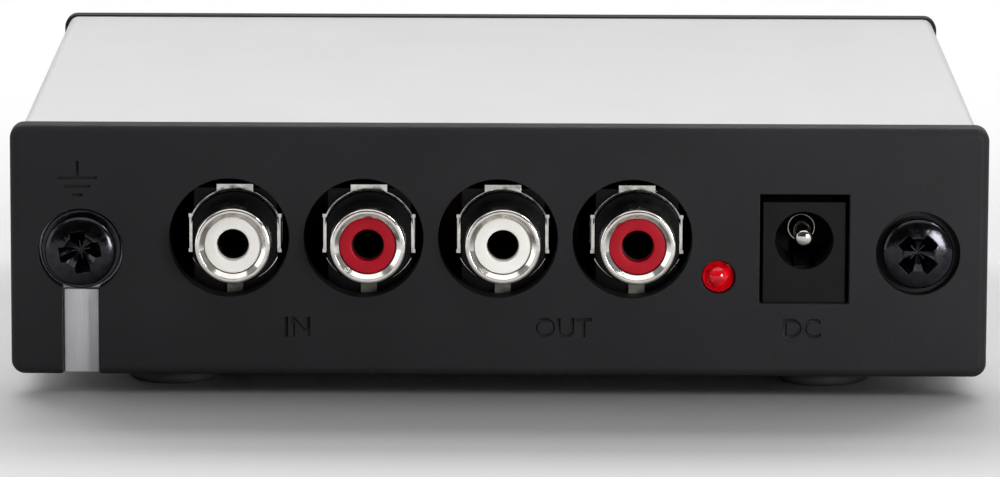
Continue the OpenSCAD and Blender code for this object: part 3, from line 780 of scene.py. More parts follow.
class NodeTool:
    """A Geometry Nodes tree with named inputs, which makes plain meshes."""

    title = "tool"
    sockets: dict[str, str] = {}

    def __init__(self) -> None:
        """Makes the tree with its inputs, and lets the tool add its nodes."""
        self.tree = bpy.data.node_groups.new(self.title, "GeometryNodeTree")
        face = self.tree.interface
        for name, kind in {"Shape": "Geometry", **self.sockets, "Finish": "Material"}.items():
            face.new_socket(name, in_out="INPUT", socket_type=f"NodeSocket{kind}")
        face.new_socket("Shape", in_out="OUTPUT", socket_type="NodeSocketGeometry")
        self.given = add_node(self.tree, "NodeGroupInput").outputs
        realized = self.get("GeometryNodeRealizeInstances", {"Geometry": self.grow()})
        dressed = self.get("GeometryNodeSetMaterial", {
            "Geometry": realized, "Material": self.given["Finish"]})
        add_node(self.tree, "NodeGroupOutput", {0: dressed})

    def get(self, kind: str, inputs: dict | None = None, **settings) -> Output:
        """Adds a node to this tool's tree and gives its first output."""
        return add_node(self.tree, kind, inputs, **settings).outputs[0]

    def grow(self) -> Output:
        """Adds the tool's own nodes and gives the geometry that they make."""
        raise NotImplementedError

    def points(self) -> Output:
        """Adds the points of a row of rows, from First, Count, Step, Rows and Row Step.

        Returns:
            The points.
        """
        row = self.get("GeometryNodeMeshLine", {
            "Count": self.given["Count"], "Start Location": self.given["First"],
            "Offset": self.given["Step"]}, mode="OFFSET")
        rows = self.get("GeometryNodeMeshLine", {
            "Count": self.given["Rows"], "Offset": self.given["Row Step"]}, mode="OFFSET")
        placed = self.get(AT_POINTS, {"Points": row, "Instance": rows})
        return self.get("GeometryNodeRealizeInstances", {"Geometry": placed})

    def make(self, piece: Piece, finish: Finish, **values) -> Piece:
        """Runs the tree on a piece and keeps the result as a plain mesh.

        Args:
            piece: the shape that the tree starts from.
            finish: the finish that it sets.
            values: the tree's other inputs by name, with _ for a space.

        Returns:
            The piece, with its new mesh.
        """
        modifier = piece.modifiers.new(self.title, "NODES")
        modifier.node_group = self.tree
        given = {name.replace("_", " "): value for name, value in values.items()}
        given["Finish"] = finish.material()
        for item in self.tree.interface.items_tree:
            if item.in_out == "INPUT" and item.name in given:
                modifier[item.identifier] = given[item.name]
        keep_shape(piece)
        return piece


ROW_SOCKETS = {"First": "Vector", "Count": "Int", "Step": "Vector",
               "Rows": "Int", "Row Step": "Vector"}


class Lathe(NodeTool):
    """Turns a profile of radius and depth round an axis, and sets the result out in rows."""

    title = "turned_parts"
    sockets = {"Segments": "Int", "Axis": "Vector", "Side": "Vector", **ROW_SOCKETS}

    def grow(self) -> Output:
        """Bends a grid round the axis, a column of it for each point of the profile.

        Returns:
            The turned shape.
        """
        axis, side = self.given["Axis"], self.given["Side"]
        count = self.get("GeometryNodeAttributeDomainSize", {0: self.given["Shape"]})
        around = self.get(MATH, {0: self.given["Segments"], 1: 1.0}, operation="ADD")
        grid = self.get("GeometryNodeMeshGrid", {
            "Size X": 1.0, "Size Y": 1.0, "Vertices X": count, "Vertices Y": around})
        here = add_node(self.tree, SPLIT, {0: self.get(POSITION)}).outputs
        last = self.get(MATH, {0: count, 1: 1.0}, operation="SUBTRACT")
        share = self.get(MATH, {0: here["X"], 1: 0.5}, operation="ADD")
        column = self.get(MATH, {0: share, 1: last}, operation="MULTIPLY")
        number = self.get(MATH, {0: column}, operation="ROUND")
        angle = self.get(MATH, {0: here["Y"], 1: math.tau}, operation="MULTIPLY")
        sample = self.get("GeometryNodeSampleIndex", {
            "Geometry": self.given["Shape"], "Value": self.get(POSITION), "Index": number},
            data_type="FLOAT_VECTOR", domain="POINT")
        profile = add_node(self.tree, SPLIT, {0: sample}).outputs
        up = self.get(VECTOR_MATH, {0: side, 1: axis}, operation="CROSS_PRODUCT")
        moves = [self.get(VECTOR_MATH, {0: axis, "Scale": profile["Y"]}, operation="SCALE")]
        for way, turn in ((side, "COSINE"), (up, "SINE")):
            swing = self.get(MATH, {0: angle}, operation=turn)
            reach = self.get(MATH, {0: profile["X"], 1: swing}, operation="MULTIPLY")
            moves.append(self.get(VECTOR_MATH, {0: way, "Scale": reach}, operation="SCALE"))
        flat = self.get(VECTOR_MATH, {0: moves[0], 1: moves[1]}, operation="ADD")
        place = self.get(VECTOR_MATH, {0: flat, 1: moves[2]}, operation="ADD")
        bent = self.get("GeometryNodeSetPosition", {"Geometry": grid, "Position": place})
        closed = self.get("GeometryNodeMergeByDistance", {"Geometry": bent, "Distance": 0.001 * MM})
        return self.get(AT_POINTS, {"Points": self.points(), "Instance": closed})

    def turn(self, name: str, profile: list[Point], finish: Finish, first: Vector,
             segments: int = 64, axis: Vector = Vector((0, 1, 0)), count: int = 1,
             step: Vector = Vector(), rows: int = 1, row_step: Vector = Vector()) -> Piece:
        """Turns one or more parts.

        Args:
            name: the piece's name.
            profile: points of radius and depth; a closed profile ends where it starts.
            finish: the finish.
            first: where the profile's zero depth stands for the first part.
            segments: how many sides the turned part has.
            axis: the axis it is turned round.
            count: how many parts a row has.
            step: from one part to the next.
            rows: how many rows there are.
            row_step: from one row to the next.

        Returns:
            The piece.
        """
        chain = [(k, k + 1) for k in range(len(profile) - 1)]
        piece = mesh_from(name, [(r, t, 0.0) for r, t in profile], edges=chain)
        side = Vector((1, 0, 0)) if abs(axis.x) < 0.5 else Vector((0, 0, 1))
        self.make(piece, finish, Segments=segments, Axis=tuple(axis), Side=tuple(side),
                  First=tuple(first * MM), Count=count, Step=tuple(step * MM),
                  Rows=rows, Row_Step=tuple(row_step * MM))
        point_outwards(piece)
        shade(piece)
        return piece

    def fit(self, name: str, profile: list[Point], finish: Finish, nodes: list[str], first: Vector,
            body: str = CASE_BODY, **layout) -> None:
        """Turns one or more parts, dresses them and ties them to the frame.

        Args:
            name: the piece's name.
            profile: the parts' profile, as turn takes it.
            finish: the finish.
            nodes: the CAD nodes that the piece stands for.
            first: where the first part stands.
            body: the CAD body it rides on.
            layout: what else turn takes.
        """
        finish_piece(self.turn(name, profile, finish, first, **layout), finish, body, *nodes)


class RowMaker(NodeTool):
    """Repeats a shape in a row."""

    title = "row_of_parts"
    sockets = ROW_SOCKETS

    def grow(self) -> Output:
        """Puts the shape on each point of the rows."""
        return self.get(AT_POINTS, {"Points": self.points(), "Instance": self.given["Shape"]})

    def repeat(self, piece: Piece, finish: Finish, count: int, step: Vector) -> None:
        """Repeats a piece that stands at its first place.

        Args:
            piece: the piece, which gets all of them in its mesh.
            finish: the finish.
            count: how many there are.
            step: from one to the next, in millimetres.
        """
        self.make(piece, finish, First=(0.0, 0.0, 0.0), Count=count, Step=tuple(step * MM),
                  Rows=1, Row_Step=(0.0, 0.0, 0.0))


class Extruder(NodeTool):
    """Fills closed outlines in X and Z, with their holes, and pulls them along Y like a die."""

    title = "extruded_profile"
    sockets = {"Start": "Float", "Length": "Float"}

    def grow(self) -> Output:
        """Fills the outlines, pulls the faces up and lays the result along Y.

        Returns:
            The extruded shape.
        """
        curve = self.get("GeometryNodeMeshToCurve", {"Mesh": self.given["Shape"]})
        filled = self.get("GeometryNodeFillCurve", {"Curve": curve})
        pull = self.get("ShaderNodeCombineXYZ", {"Z": self.given["Length"]})
        pulled = self.get("GeometryNodeExtrudeMesh", {
            "Mesh": filled, "Offset": pull, "Individual": False}, mode="FACES")
        both = add_node(self.tree, "GeometryNodeJoinGeometry")
        for part in (filled, pulled):
            self.tree.links.new(part, both.inputs[0])
        here = add_node(self.tree, SPLIT, {0: self.get(POSITION)}).outputs
        along = self.get(MATH, {0: here["Z"], 1: self.given["Start"]}, operation="ADD")
        place = self.get("ShaderNodeCombineXYZ", {"X": here["X"], "Y": along, "Z": here["Y"]})
        laid = self.get("GeometryNodeSetPosition", {"Geometry": both.outputs[0], "Position": place})
        return self.get("GeometryNodeMergeByDistance", {"Geometry": laid, "Distance": 0.001 * MM})

    def pull(self, name: str, outlines: list[list[Point]], finish: Finish, start: float,
             length: float) -> Piece:
        """Extrudes outlines; one that lies inside another is a hole.

        Args:
            name: the piece's name.
            outlines: closed outlines in X and Z.
            finish: the finish.
            start: where the extrusion starts along Y.
            length: how long it is.

        Returns:
            The piece.
        """
        points, edges = [], []
        for outline in outlines:
            base, count = len(points), len(outline)
            points += [(x, z, 0.0) for x, z in outline]
            edges += [(base + k, base + (k + 1) % count) for k in range(count)]
        piece = mesh_from(name, points, edges=edges)
        self.make(piece, finish, Start=start * MM, Length=length * MM)
        point_outwards(piece)
        shade(piece)
        return piece


# ---- The studio --------------------------------------------------------------------


@dataclass(frozen=True)
class SoftBox:
    """A soft rectangular lamp."""

    name: str
    place: tuple[float, float, float]
    width: float
    height: float
    radiance: float  # how bright its face is, where 1 is white
    flagged: bool = False  # whether a flag keeps its light off the table
    aim: tuple[float, float, float] = (0, -43, 15)

    def hang(self, flag: bpy.types.Collection) -> None:
        """Makes the lamp.

        Args:
            flag: the collection of what a lamp with a flag doesn't light.
        """
        data = bpy.data.lights.new(self.name, "AREA")
        data.shape = "RECTANGLE"
        data.size = self.width * MM
        data.size_y = self.height * MM
        data.energy = math.pi * data.size * data.size_y * self.radiance
        lamp = new_piece(self.name, data)
        place = Vector(self.place)
        turn = (place - Vector(self.aim)).to_track_quat("Z", "Y")
        lamp.matrix_world = Matrix.Translation(place * MM) @ turn.to_matrix().to_4x4()
        lamp.visible_camera = False
        if self.flagged:
            lamp.light_linking.receiver_collection = flag


@dataclass(frozen=True)
class PhotoCamera:
    """The photograph's camera, worked out from the panel's edges, holes and the far panel's lip."""

    place: tuple[float, float, float] = (0.74, -775.36, 145.3)
    pitch: float = 9.908  # degrees down
    yaw: float = -0.051  # degrees to the right
    roll: float = 0.2125  # degrees anticlockwise
    sensor: float = 36.0
    lens: float = 244.8
    nearest: float = 0.01  # metres
    farthest: float = 20.0  # metres

    def stand(self) -> None:
        """Makes the camera and gives it to the scene."""
        data = bpy.data.cameras.new("photo_camera")
        data.sensor_width = self.sensor
        data.lens = self.lens
        data.clip_start = self.nearest
        data.clip_end = self.farthest
        camera = new_piece("photo_camera", data)
        turn = (Matrix.Rotation(math.radians(-self.yaw), 4, "Z")
                @ Matrix.Rotation(math.radians(90 - self.pitch), 4, "X")
                @ Matrix.Rotation(math.radians(self.roll), 4, "Z"))
        camera.matrix_world = Matrix.Translation(Vector(self.place) * MM) @ turn
        bpy.context.scene.camera = camera


@dataclass
class Studio:
    """A white table in soft light, with a dim room behind the camera."""

    boxes: tuple[SoftBox, ...] = (
        SoftBox("back_middle", (0, 685, 626), 1200, 160, 7.4),
        SoftBox("back_high", (0, 542, 764), 1200, 160, 3.4),
        SoftBox("back_left", (-676, 379, 532), 1300, 600, 0.6),
        SoftBox("back_right", (676, 379, 532), 1300, 600, 0.6),
        SoftBox("front_top", (0, -390, 860), 1200, 600, 1.3, True),
        SoftBox("left_wall", (-700, -250, 150), 500, 500, 1.5, True),
        SoftBox("right_key", (128, -222, 42), 60, 60, 28.0, True, (10, -43, 15)),
        SoftBox("right_top", (181, -70, 207), 50, 50, 18.0, True, (24, -43, 15)),
    )
    table_size: float = 9000.0
    near: float = 60.0  # inside this distance the table shows its shadows
    far: float = 200.0  # past this distance the table is plain white
    room_light: float = 0.04  # the side behind the camera
    wall_light: float = 0.38  # the other sides
    dim_way: float = -0.95  # where along Y the room is dimmest, from -1 to 1
    wall_way: float = 0.1  # where along Y it has reached the walls' light

    def light(self) -> None:
        """Hangs the lamps and lights the room."""
        flag = bpy.data.collections.new("behind_the_flag")
        flag.objects.link(bpy.data.objects["table"])
        flag.collection_objects[0].light_linking.link_state = "EXCLUDE"
        for box in self.boxes:
            box.hang(flag)
        world = bpy.data.worlds.new("studio_room")
        tree = empty_tree(world)
        way = add_node(tree, SPLIT, {0: add_node(tree, "ShaderNodeTexCoord").outputs["Generated"]})
        level = add_node(tree, "ShaderNodeMapRange", {
            "Value": way.outputs["Y"], "From Min": self.dim_way, "From Max": self.wall_way,
            "To Min": self.room_light, "To Max": self.wall_light})
        seen = add_node(tree, MATH, {
            0: add_node(tree, "ShaderNodeLightPath").outputs["Is Camera Ray"],
            1: level.outputs[0]}, operation="MAXIMUM")
        back = add_node(tree, "ShaderNodeBackground", {"Color": WHITE, "Strength": seen.outputs[0]})
        add_node(tree, "ShaderNodeOutputWorld", {"Surface": back.outputs[0]})
        bpy.context.scene.world = world

    def table(self) -> None:
        """Lays the white table, which keeps the object's shadow and is plain white further off."""
        half = self.table_size / 2
        corners = [(x, y, 0) for x, y in box_outline(-half, half, -half, half)]
        top = mesh_from("table", corners, [(0, 1, 2, 3)])
        made = bpy.data.materials.new("white_table")
        tree = empty_tree(made)
        paint = add_node(tree, "ShaderNodeBsdfPrincipled", {
            "Base Color": linear("#f4f4f4"), "Roughness": 0.5, "Specular IOR Level": 0.2})
        glow = add_node(tree, "ShaderNodeEmission", {"Color": WHITE, "Strength": 1.0})
        place = add_node(tree, "ShaderNodeTexCoord").outputs["Object"]
        away = add_node(tree, VECTOR_MATH, {0: place}, operation="LENGTH")
        white = add_node(tree, "ShaderNodeMapRange", {
            "Value": away.outputs["Value"], "From Min": self.near * MM, "From Max": self.far * MM},
            interpolation_type="SMOOTHSTEP")
        rays = add_node(tree, "ShaderNodeLightPath")
        direct = add_node(tree, MATH, {
            0: rays.outputs["Is Camera Ray"],
            1: rays.outputs["Is Glossy Ray"]}, operation="MAXIMUM")
        share = add_node(tree, MATH, {
            0: white.outputs["Result"], 1: direct.outputs[0]}, operation="MULTIPLY")
        mix = add_node(tree, "ShaderNodeMixShader", {
            0: share.outputs[0], 1: paint.outputs["BSDF"], 2: glow.outputs[0]})
        add_node(tree, "ShaderNodeOutputMaterial", {"Surface": mix.outputs[0]})
        top.data.materials.append(made)


# ---- The case ----------------------------------------------------------------------


@dataclass
class CaseSleeve:
    """The aluminium sleeve: one extrusion with two screw ports and two board grooves."""

    wall: float = 1.5
    corner: float = 1.2  # radius of its outer corners
    inner_corner: float = 0.4
    port_inset: float = 6.7  # from its side to the middle of a screw port
    bore: float = 2.05  # radius of a screw port's bore
    port: float = 3.55  # radius of the wall round a bore
    web: float = 3.0  # height of the web that carries a port
    slot: float = 1.6  # width of a port's slot
    groove_depth: float = 2.5  # how far the groove's ribs stand in
    groove_rib: float = 1.2  # thickness of a rib
    board_play: float = 0.1  # play between a rib and the circuit board

    def build(self, extruder: Extruder) -> None:
        """Extrudes the sleeve and dresses it.

        Args:
            extruder: the tool that extrudes.
        """
        room = Room.of("case_sleeve")
        piece = extruder.pull("sleeve_extrusion", [self.outer(room), self.inner(room)],
                              SATIN_ALUMINIUM, room.low.y, room.size.y)
        finish_piece(piece, SATIN_ALUMINIUM, CASE_BODY, "case_sleeve")

    def outer(self, room: Room) -> list[Point]:
        """Gives the outer outline, a rectangle with round corners.

        Args:
            room: the sleeve's room.

        Returns:
            The outline's points.
        """
        corners = ((room.high.x, room.high.z, 0), (room.low.x, room.high.z, 90),
                   (room.low.x, room.low.z, 180), (room.high.x, room.low.z, 270))
        outline = []
        for x, z, start in corners:
            cx = x - math.copysign(self.corner, x)
            cz = z - math.copysign(self.corner, z - room.centre.z)
            outline += arc(cx, cz, self.corner, start, start + 90, 8)
        return outline

    def inner(self, room: Room) -> list[Point]:
        """Gives the inner outline: down the right side, and its mirror image up the left."""
        right = self.right_side(room)
        return right + [(-x, z) for x, z in reversed(right)]

    def right_side(self, room: Room) -> list[Point]:
        """Gives the inner outline's right half, from the top to the bottom.

        Args:
            room: the sleeve's room.

        Returns:
            The half outline's points.
        """
        mid, board, corner = room.centre.z, Room.of("circuit_board"), self.inner_corner
        wall_x, port_x = room.high.x - self.wall, room.high.x - self.port_inset
        rib_x = wall_x - self.groove_depth
        top, bottom = room.high.z - self.wall, room.low.z + self.wall
        web, mouth, bore_mouth = (math.degrees(math.asin(width / 2 / radius)) for width, radius in (
            (self.web, self.port), (self.slot, self.port), (self.slot, self.bore)))
        outline = [*arc(wall_x - corner, top - corner, corner, 90, 0, 3),
                   (wall_x, mid + self.web / 2),
                   *arc(port_x, mid, self.port, web, 180 - mouth, 16),
                   *arc(port_x, mid, self.bore, 180 - bore_mouth, bore_mouth - 180, 24),
                   *arc(port_x, mid, self.port, 180 + mouth, 360 - web, 16),
                   (wall_x, mid - self.web / 2)]
        play, thick = self.board_play, self.groove_rib
        for rib in (board.high.z + play + thick, board.low.z - play):
            below = rib - thick
            outline += [(wall_x, rib), (rib_x, rib), (rib_x, below), (wall_x, below)]
        return outline + arc(wall_x - corner, bottom + corner, corner, 0, -90, 3)


@dataclass
class Marking:
    """A generic word sunk into the rear panel."""

    word: str
    middle: float  # where its middle stands across the panel
    foot: float = 6.35  # the height of its letters' feet


@dataclass
class EndPanels:
    """The two black mouldings that close the sleeve."""

    hole_edge: float = 0.14  # radius of the edges of the rear panel's holes
    cap_height: float = 2.25  # height of a marking's capitals
    sink: float = 0.25  # how deep the markings are
    over: float = 0.5  # how far the shape that cuts a marking stands out of the panel
    boldness: float = 0.022  # how far a letter's outline is pushed out, as a share of its size
    stroke: float = 0.34  # width of a line of the earth symbol
    earth_x: float = -46.1  # the earth symbol's middle
    earth_top: float = 25.8  # the top of its upright
    bars: tuple[Point, ...] = ((23.95, 4.3), (23.0, 2.8), (22.05, 1.2))  # height, width
    words: tuple[Marking, ...] = (Marking("IN", -22.1), Marking("OUT", 7.0), Marking("DC", 33.2))

    def build(self) -> None:
        """Makes both panels."""
        rear = merged_copy("rear_panel", "rear_panel_moulding")
        face = Room.of("rear_panel").low.y
        round_edges(rear, self.hole_edge)
        for marking in self.words:
            cut(rear, self.letters(marking, face))
        for outline in self.earth():
            cut(rear, slab_from("earth_bar", outline, face - self.over, face + self.sink))
        shade(rear)
        finish_piece(rear, PANEL_ABS, CASE_BODY, "rear_panel")
        soften("front_panel", "front_panel_moulding", PANEL_ABS, self.hole_edge)

    def earth(self) -> list[list[Point]]:
        """Draws the earth symbol's bars and upright.

        Returns:
            Their outlines, in X and Z.
        """
        half, middle, foot = self.stroke / 2, self.earth_x, self.bars[0][0]
        bars = [box_outline(middle - w / 2, middle + w / 2, z - half, z + half)
                for z, w in self.bars]
        return [*bars, box_outline(middle - half, middle + half, foot + half / 2, self.earth_top)]

    def letters(self, marking: Marking, face: float) -> Piece:
        """Makes the solid letters of a word, standing through the panel's face.

        Args:
            marking: the word and its place.
            face: where the panel's face is along Y.

        Returns:
            The letters as one closed shape.
        """
        curve = bpy.data.curves.new("letters", "FONT")
        curve.body = marking.word
        curve.extrude = 1.0
        curve.offset = self.boldness
        text = new_piece("letters", curve)
        graph = bpy.context.evaluated_depsgraph_get()
        mesh = bpy.data.meshes.new_from_object(text.evaluated_get(graph))
        bpy.data.objects.remove(text)
        xs = [v.co.x for v in mesh.vertices]
        ys = [v.co.y for v in mesh.vertices]
        scale = self.cap_height / (max(ys) - min(ys))
        deep = self.sink + self.over
        for v in mesh.vertices:
            x = marking.middle + (v.co.x - (min(xs) + max(xs)) / 2) * scale
            y = face + self.sink - deep * (1 if v.co.z > 0 else 0)
            v.co = Vector((x, y, marking.foot + (v.co.y - min(ys)) * scale)) * MM
        piece = new_piece("letters", mesh)
        point_outwards(piece)
        return piece


@dataclass
class RubberFeet:
    """Four moulded rubber feet, each with a shallow dish under it."""

    edge: float = 0.8  # radius of a foot's lower edge
    # The dish: shares of the foot's radius, and heights.
    dish: tuple[Point, ...] = ((0.0, 0.3), (0.45, 0.3), (0.62, 0.04), (0.7, 0.0))

    def build(self, lathe: Lathe) -> None:
        """Turns the four feet.

        Args:
            lathe: the tool that turns round pieces.
        """
        nodes = [f"foot_{k}" for k in range(1, 5)]
        first, second, third = (Room.of(node) for node in nodes[:3])
        radius, height, middle = first.size.x / 2, first.size.z, first.centre
        profile = [*((radius * share, rise) for share, rise in self.dish),
                   *arc(radius - self.edge, self.edge, self.edge, -90, 0, 6),
                   (radius, height), (0.0, height)]
        lathe.fit("rubber_feet", profile, FOOT_RUBBER, nodes, Vector((middle.x, middle.y, 0)),
                  segments=48, axis=Vector((0, 0, 1)), count=2, step=second.centre - middle,
                  rows=2, row_step=third.centre - middle)


# ---- Screws and ground -------------------------------------------------------------


@dataclass
class PanScrew:
    """A pan-head screw with a cross recess and a rolled thread."""

    node: str
    name: str
    body: str
    turn: float  # how its recess happens to stand, in degrees
    crown: float = 1.0  # how far the head's edge lies below its top
    dome: float = 0.8  # below 1 the head is flatter than a ball in its middle
    head_h: float = 2.4
    head_edge: float = 0.16  # radius of the head's and the recess's edges
    thread_d: float = 4.0
    thread_depth: float = 0.38
    thread_start: float = 0.05  # how far the thread reaches into the head
    point: float = 0.8  # length of the thread's tapered end
    taper: float = 0.9  # how steep that end is
    pitch: float = 0.7
    cross_w: float = 4.9  # the recess's width from arm to arm
    arm_top: float = 1.75  # an arm's width at the head's surface
    arm_bottom: float = 0.12  # an arm's width at the recess's floor
    floor_w: float = 0.42  # the recess's width at its floor, as a share
    over: float = 0.5  # how far a cutter stands out of the head
    over_long: float = 1.12  # how much longer it is there
    over_wide: float = 1.25  # how much wider it is there
    cone: float = 1.9  # radius of the recess's middle, at the surface
    cone_over: float = 1.2  # how much wider its cutter is outside
    cone_tip: float = 0.2  # how far it reaches past the arms
    recess: float = 2.0  # the recess's depth

    def build(self, lathe: Lathe) -> None:
        """Makes the head and the thread, joins and dresses them.

        Args:
            lathe: the tool that turns round pieces.
        """
        room = Room.of(self.node)
        head = self.head(lathe, room.size.x / 2, room.front)
        piece = join(self.name, [head, self.thread(room.size.y, room.front)])
        finish_piece(piece, BLACK_ZINC, self.body, self.node)

    def head(self, lathe: Lathe, radius: float, top: Vector) -> Piece:
        """Turns the head and cuts its recess.

        Args:
            lathe: the tool that turns round pieces.
            radius: the head's radius, in millimetres.
            top: the middle of its crown.

        Returns:
            The head.
        """
        steps = 14
        dome = [(radius * math.sin(a), self.crown * (1 - math.cos(a) ** self.dome))
                for a in (math.pi / 2 * k / steps for k in range(steps + 1))]
        profile = [*dome, (radius, self.head_h), (0.0, self.head_h)]
        piece = lathe.turn("head", profile, BLACK_ZINC, top, segments=72)
        for angle in (self.turn, self.turn + 90):
            cut(piece, self.arm(math.radians(angle), top))
        cone = [(0.0, -self.over), (self.cone * self.cone_over, -self.over), (self.cone, 0.0),
                (0.0, self.recess + self.cone_tip)]
        cut(piece, lathe.turn("cone", cone, BLACK_ZINC, top, segments=32))
        round_edges(piece, self.head_edge, steps=4, sharper_than=30)
        shade(piece, 30)
        return piece

    def arm(self, angle: float, top: Vector) -> Piece:
        """Makes the tapered bar that cuts two arms of the recess.

        Args:
            angle: the way it points, in radians.
            top: the middle of the head's top.

        Returns:
            The bar.
        """
        ends = ((-self.over, self.arm_top * self.over_wide, self.cross_w * self.over_long),
                (self.recess, self.arm_bottom, self.cross_w * self.floor_w))
        points = []
        for depth, width, length in ends:
            for u, v in box_outline(-1, 1, -1, 1):
                x, z = u * length / 2, v * width / 2
                points.append((top.x + x * math.cos(angle) - z * math.sin(angle), top.y + depth,
                               top.z + x * math.sin(angle) + z * math.cos(angle)))
        sides = [(0, 1, 5, 4), (1, 2, 6, 5), (2, 3, 7, 6), (3, 0, 4, 7)]
        bar = mesh_from("arm", points, [(0, 1, 2, 3), (4, 5, 6, 7), *sides])
        point_outwards(bar)
        return bar

    def thread(self, length: float, top: Vector) -> Piece:
        """Makes the threaded shank: its radius rises and falls once for each turn of the helix.

        Args:
            length: the screw's length from its crown to its tip, in millimetres.
            top: the middle of its crown.

        Returns:
            The shank.
        """
        around, per_turn = 32, 8
        start = self.head_h - self.thread_start
        rows = int((length - start) / self.pitch * per_turn)
        points = [(top.x, top.y + start, top.z), (top.x, top.y + length, top.z)]
        for row in range(rows + 1):
            depth = start + (length - start) * row / rows
            off = max(0.0, depth - (length - self.point)) * self.taper
            for k in range(around):
                groove = self.thread_depth * abs(2 * ((depth / self.pitch + k / around) % 1.0) - 1)
                r, a = self.thread_d / 2 - groove - off, math.tau * k / around
                points.append((top.x + r * math.cos(a), top.y + depth, top.z + r * math.sin(a)))
        faces = []
        for k in range(around):
            here, there, end = 2 + k, 2 + (k + 1) % around, rows * around
            faces += [(0, here, there), (1, end + there, end + here)]
            faces += [(row + here, row + around + here, row + around + there, row + there)
                      for row in range(0, end, around)]
        piece = mesh_from("thread", points, faces)
        point_outwards(piece)
        shade(piece, 50)
        return piece


@dataclass
class GroundTerminal:
    """The ground terminal: a plated strip, and the screw's captive washer."""

    strip_edge: float = 0.08
    pad: float = 0.45  # how far the strip is pressed forward in its slot
    pad_w: float = 3.94  # width of the pressed pad
    pad_edge: float = 0.16
    pad_root: float = 0.3  # how far the pad reaches into the strip
    pad_gap: float = 0.05  # from the pad's top to the washer
    hole: float = 2.15  # radius of the washer's hole
    edge: float = 0.15  # radius of the washer's edges

    def build(self, lathe: Lathe) -> None:
        """Makes the strip and the washer.

        Args:
            lathe: the tool that turns round pieces.
        """
        room, washer = Room.of("ground_plate"), Room.of("ground_washer")
        plate = merged_copy("ground_plate", "ground_strip")
        round_edges(plate, self.strip_edge, 2)
        left = washer.centre.x - self.pad_w / 2
        outline = box_outline(left, washer.centre.x + self.pad_w / 2, room.low.z,
                              washer.low.z - self.pad_gap)
        pad = slab_from("pad", outline, room.low.y - self.pad, room.low.y + self.pad_root)
        round_edges(pad, self.pad_edge, 4)
        for part in (plate, pad):
            shade(part)
        strip = join("ground_strip_plated", [plate, pad])
        finish_piece(strip, ZINC_STRIP, CASE_BODY, "ground_plate")
        rim, depth, edge = washer.size.x / 2 - self.edge, washer.size.y, self.edge
        profile = [(self.hole, 0.0), *arc(rim, edge, edge, -90, 0, 4),
                   *arc(rim, depth - edge, edge, 0, 90, 4), (self.hole, depth), (self.hole, 0.0)]
        lathe.fit("captive_washer", profile, BLACK_ZINC, ["ground_washer"], washer.front,
                  "ground_clamp", segments=72)


# ---- Sockets -----------------------------------------------------------------------


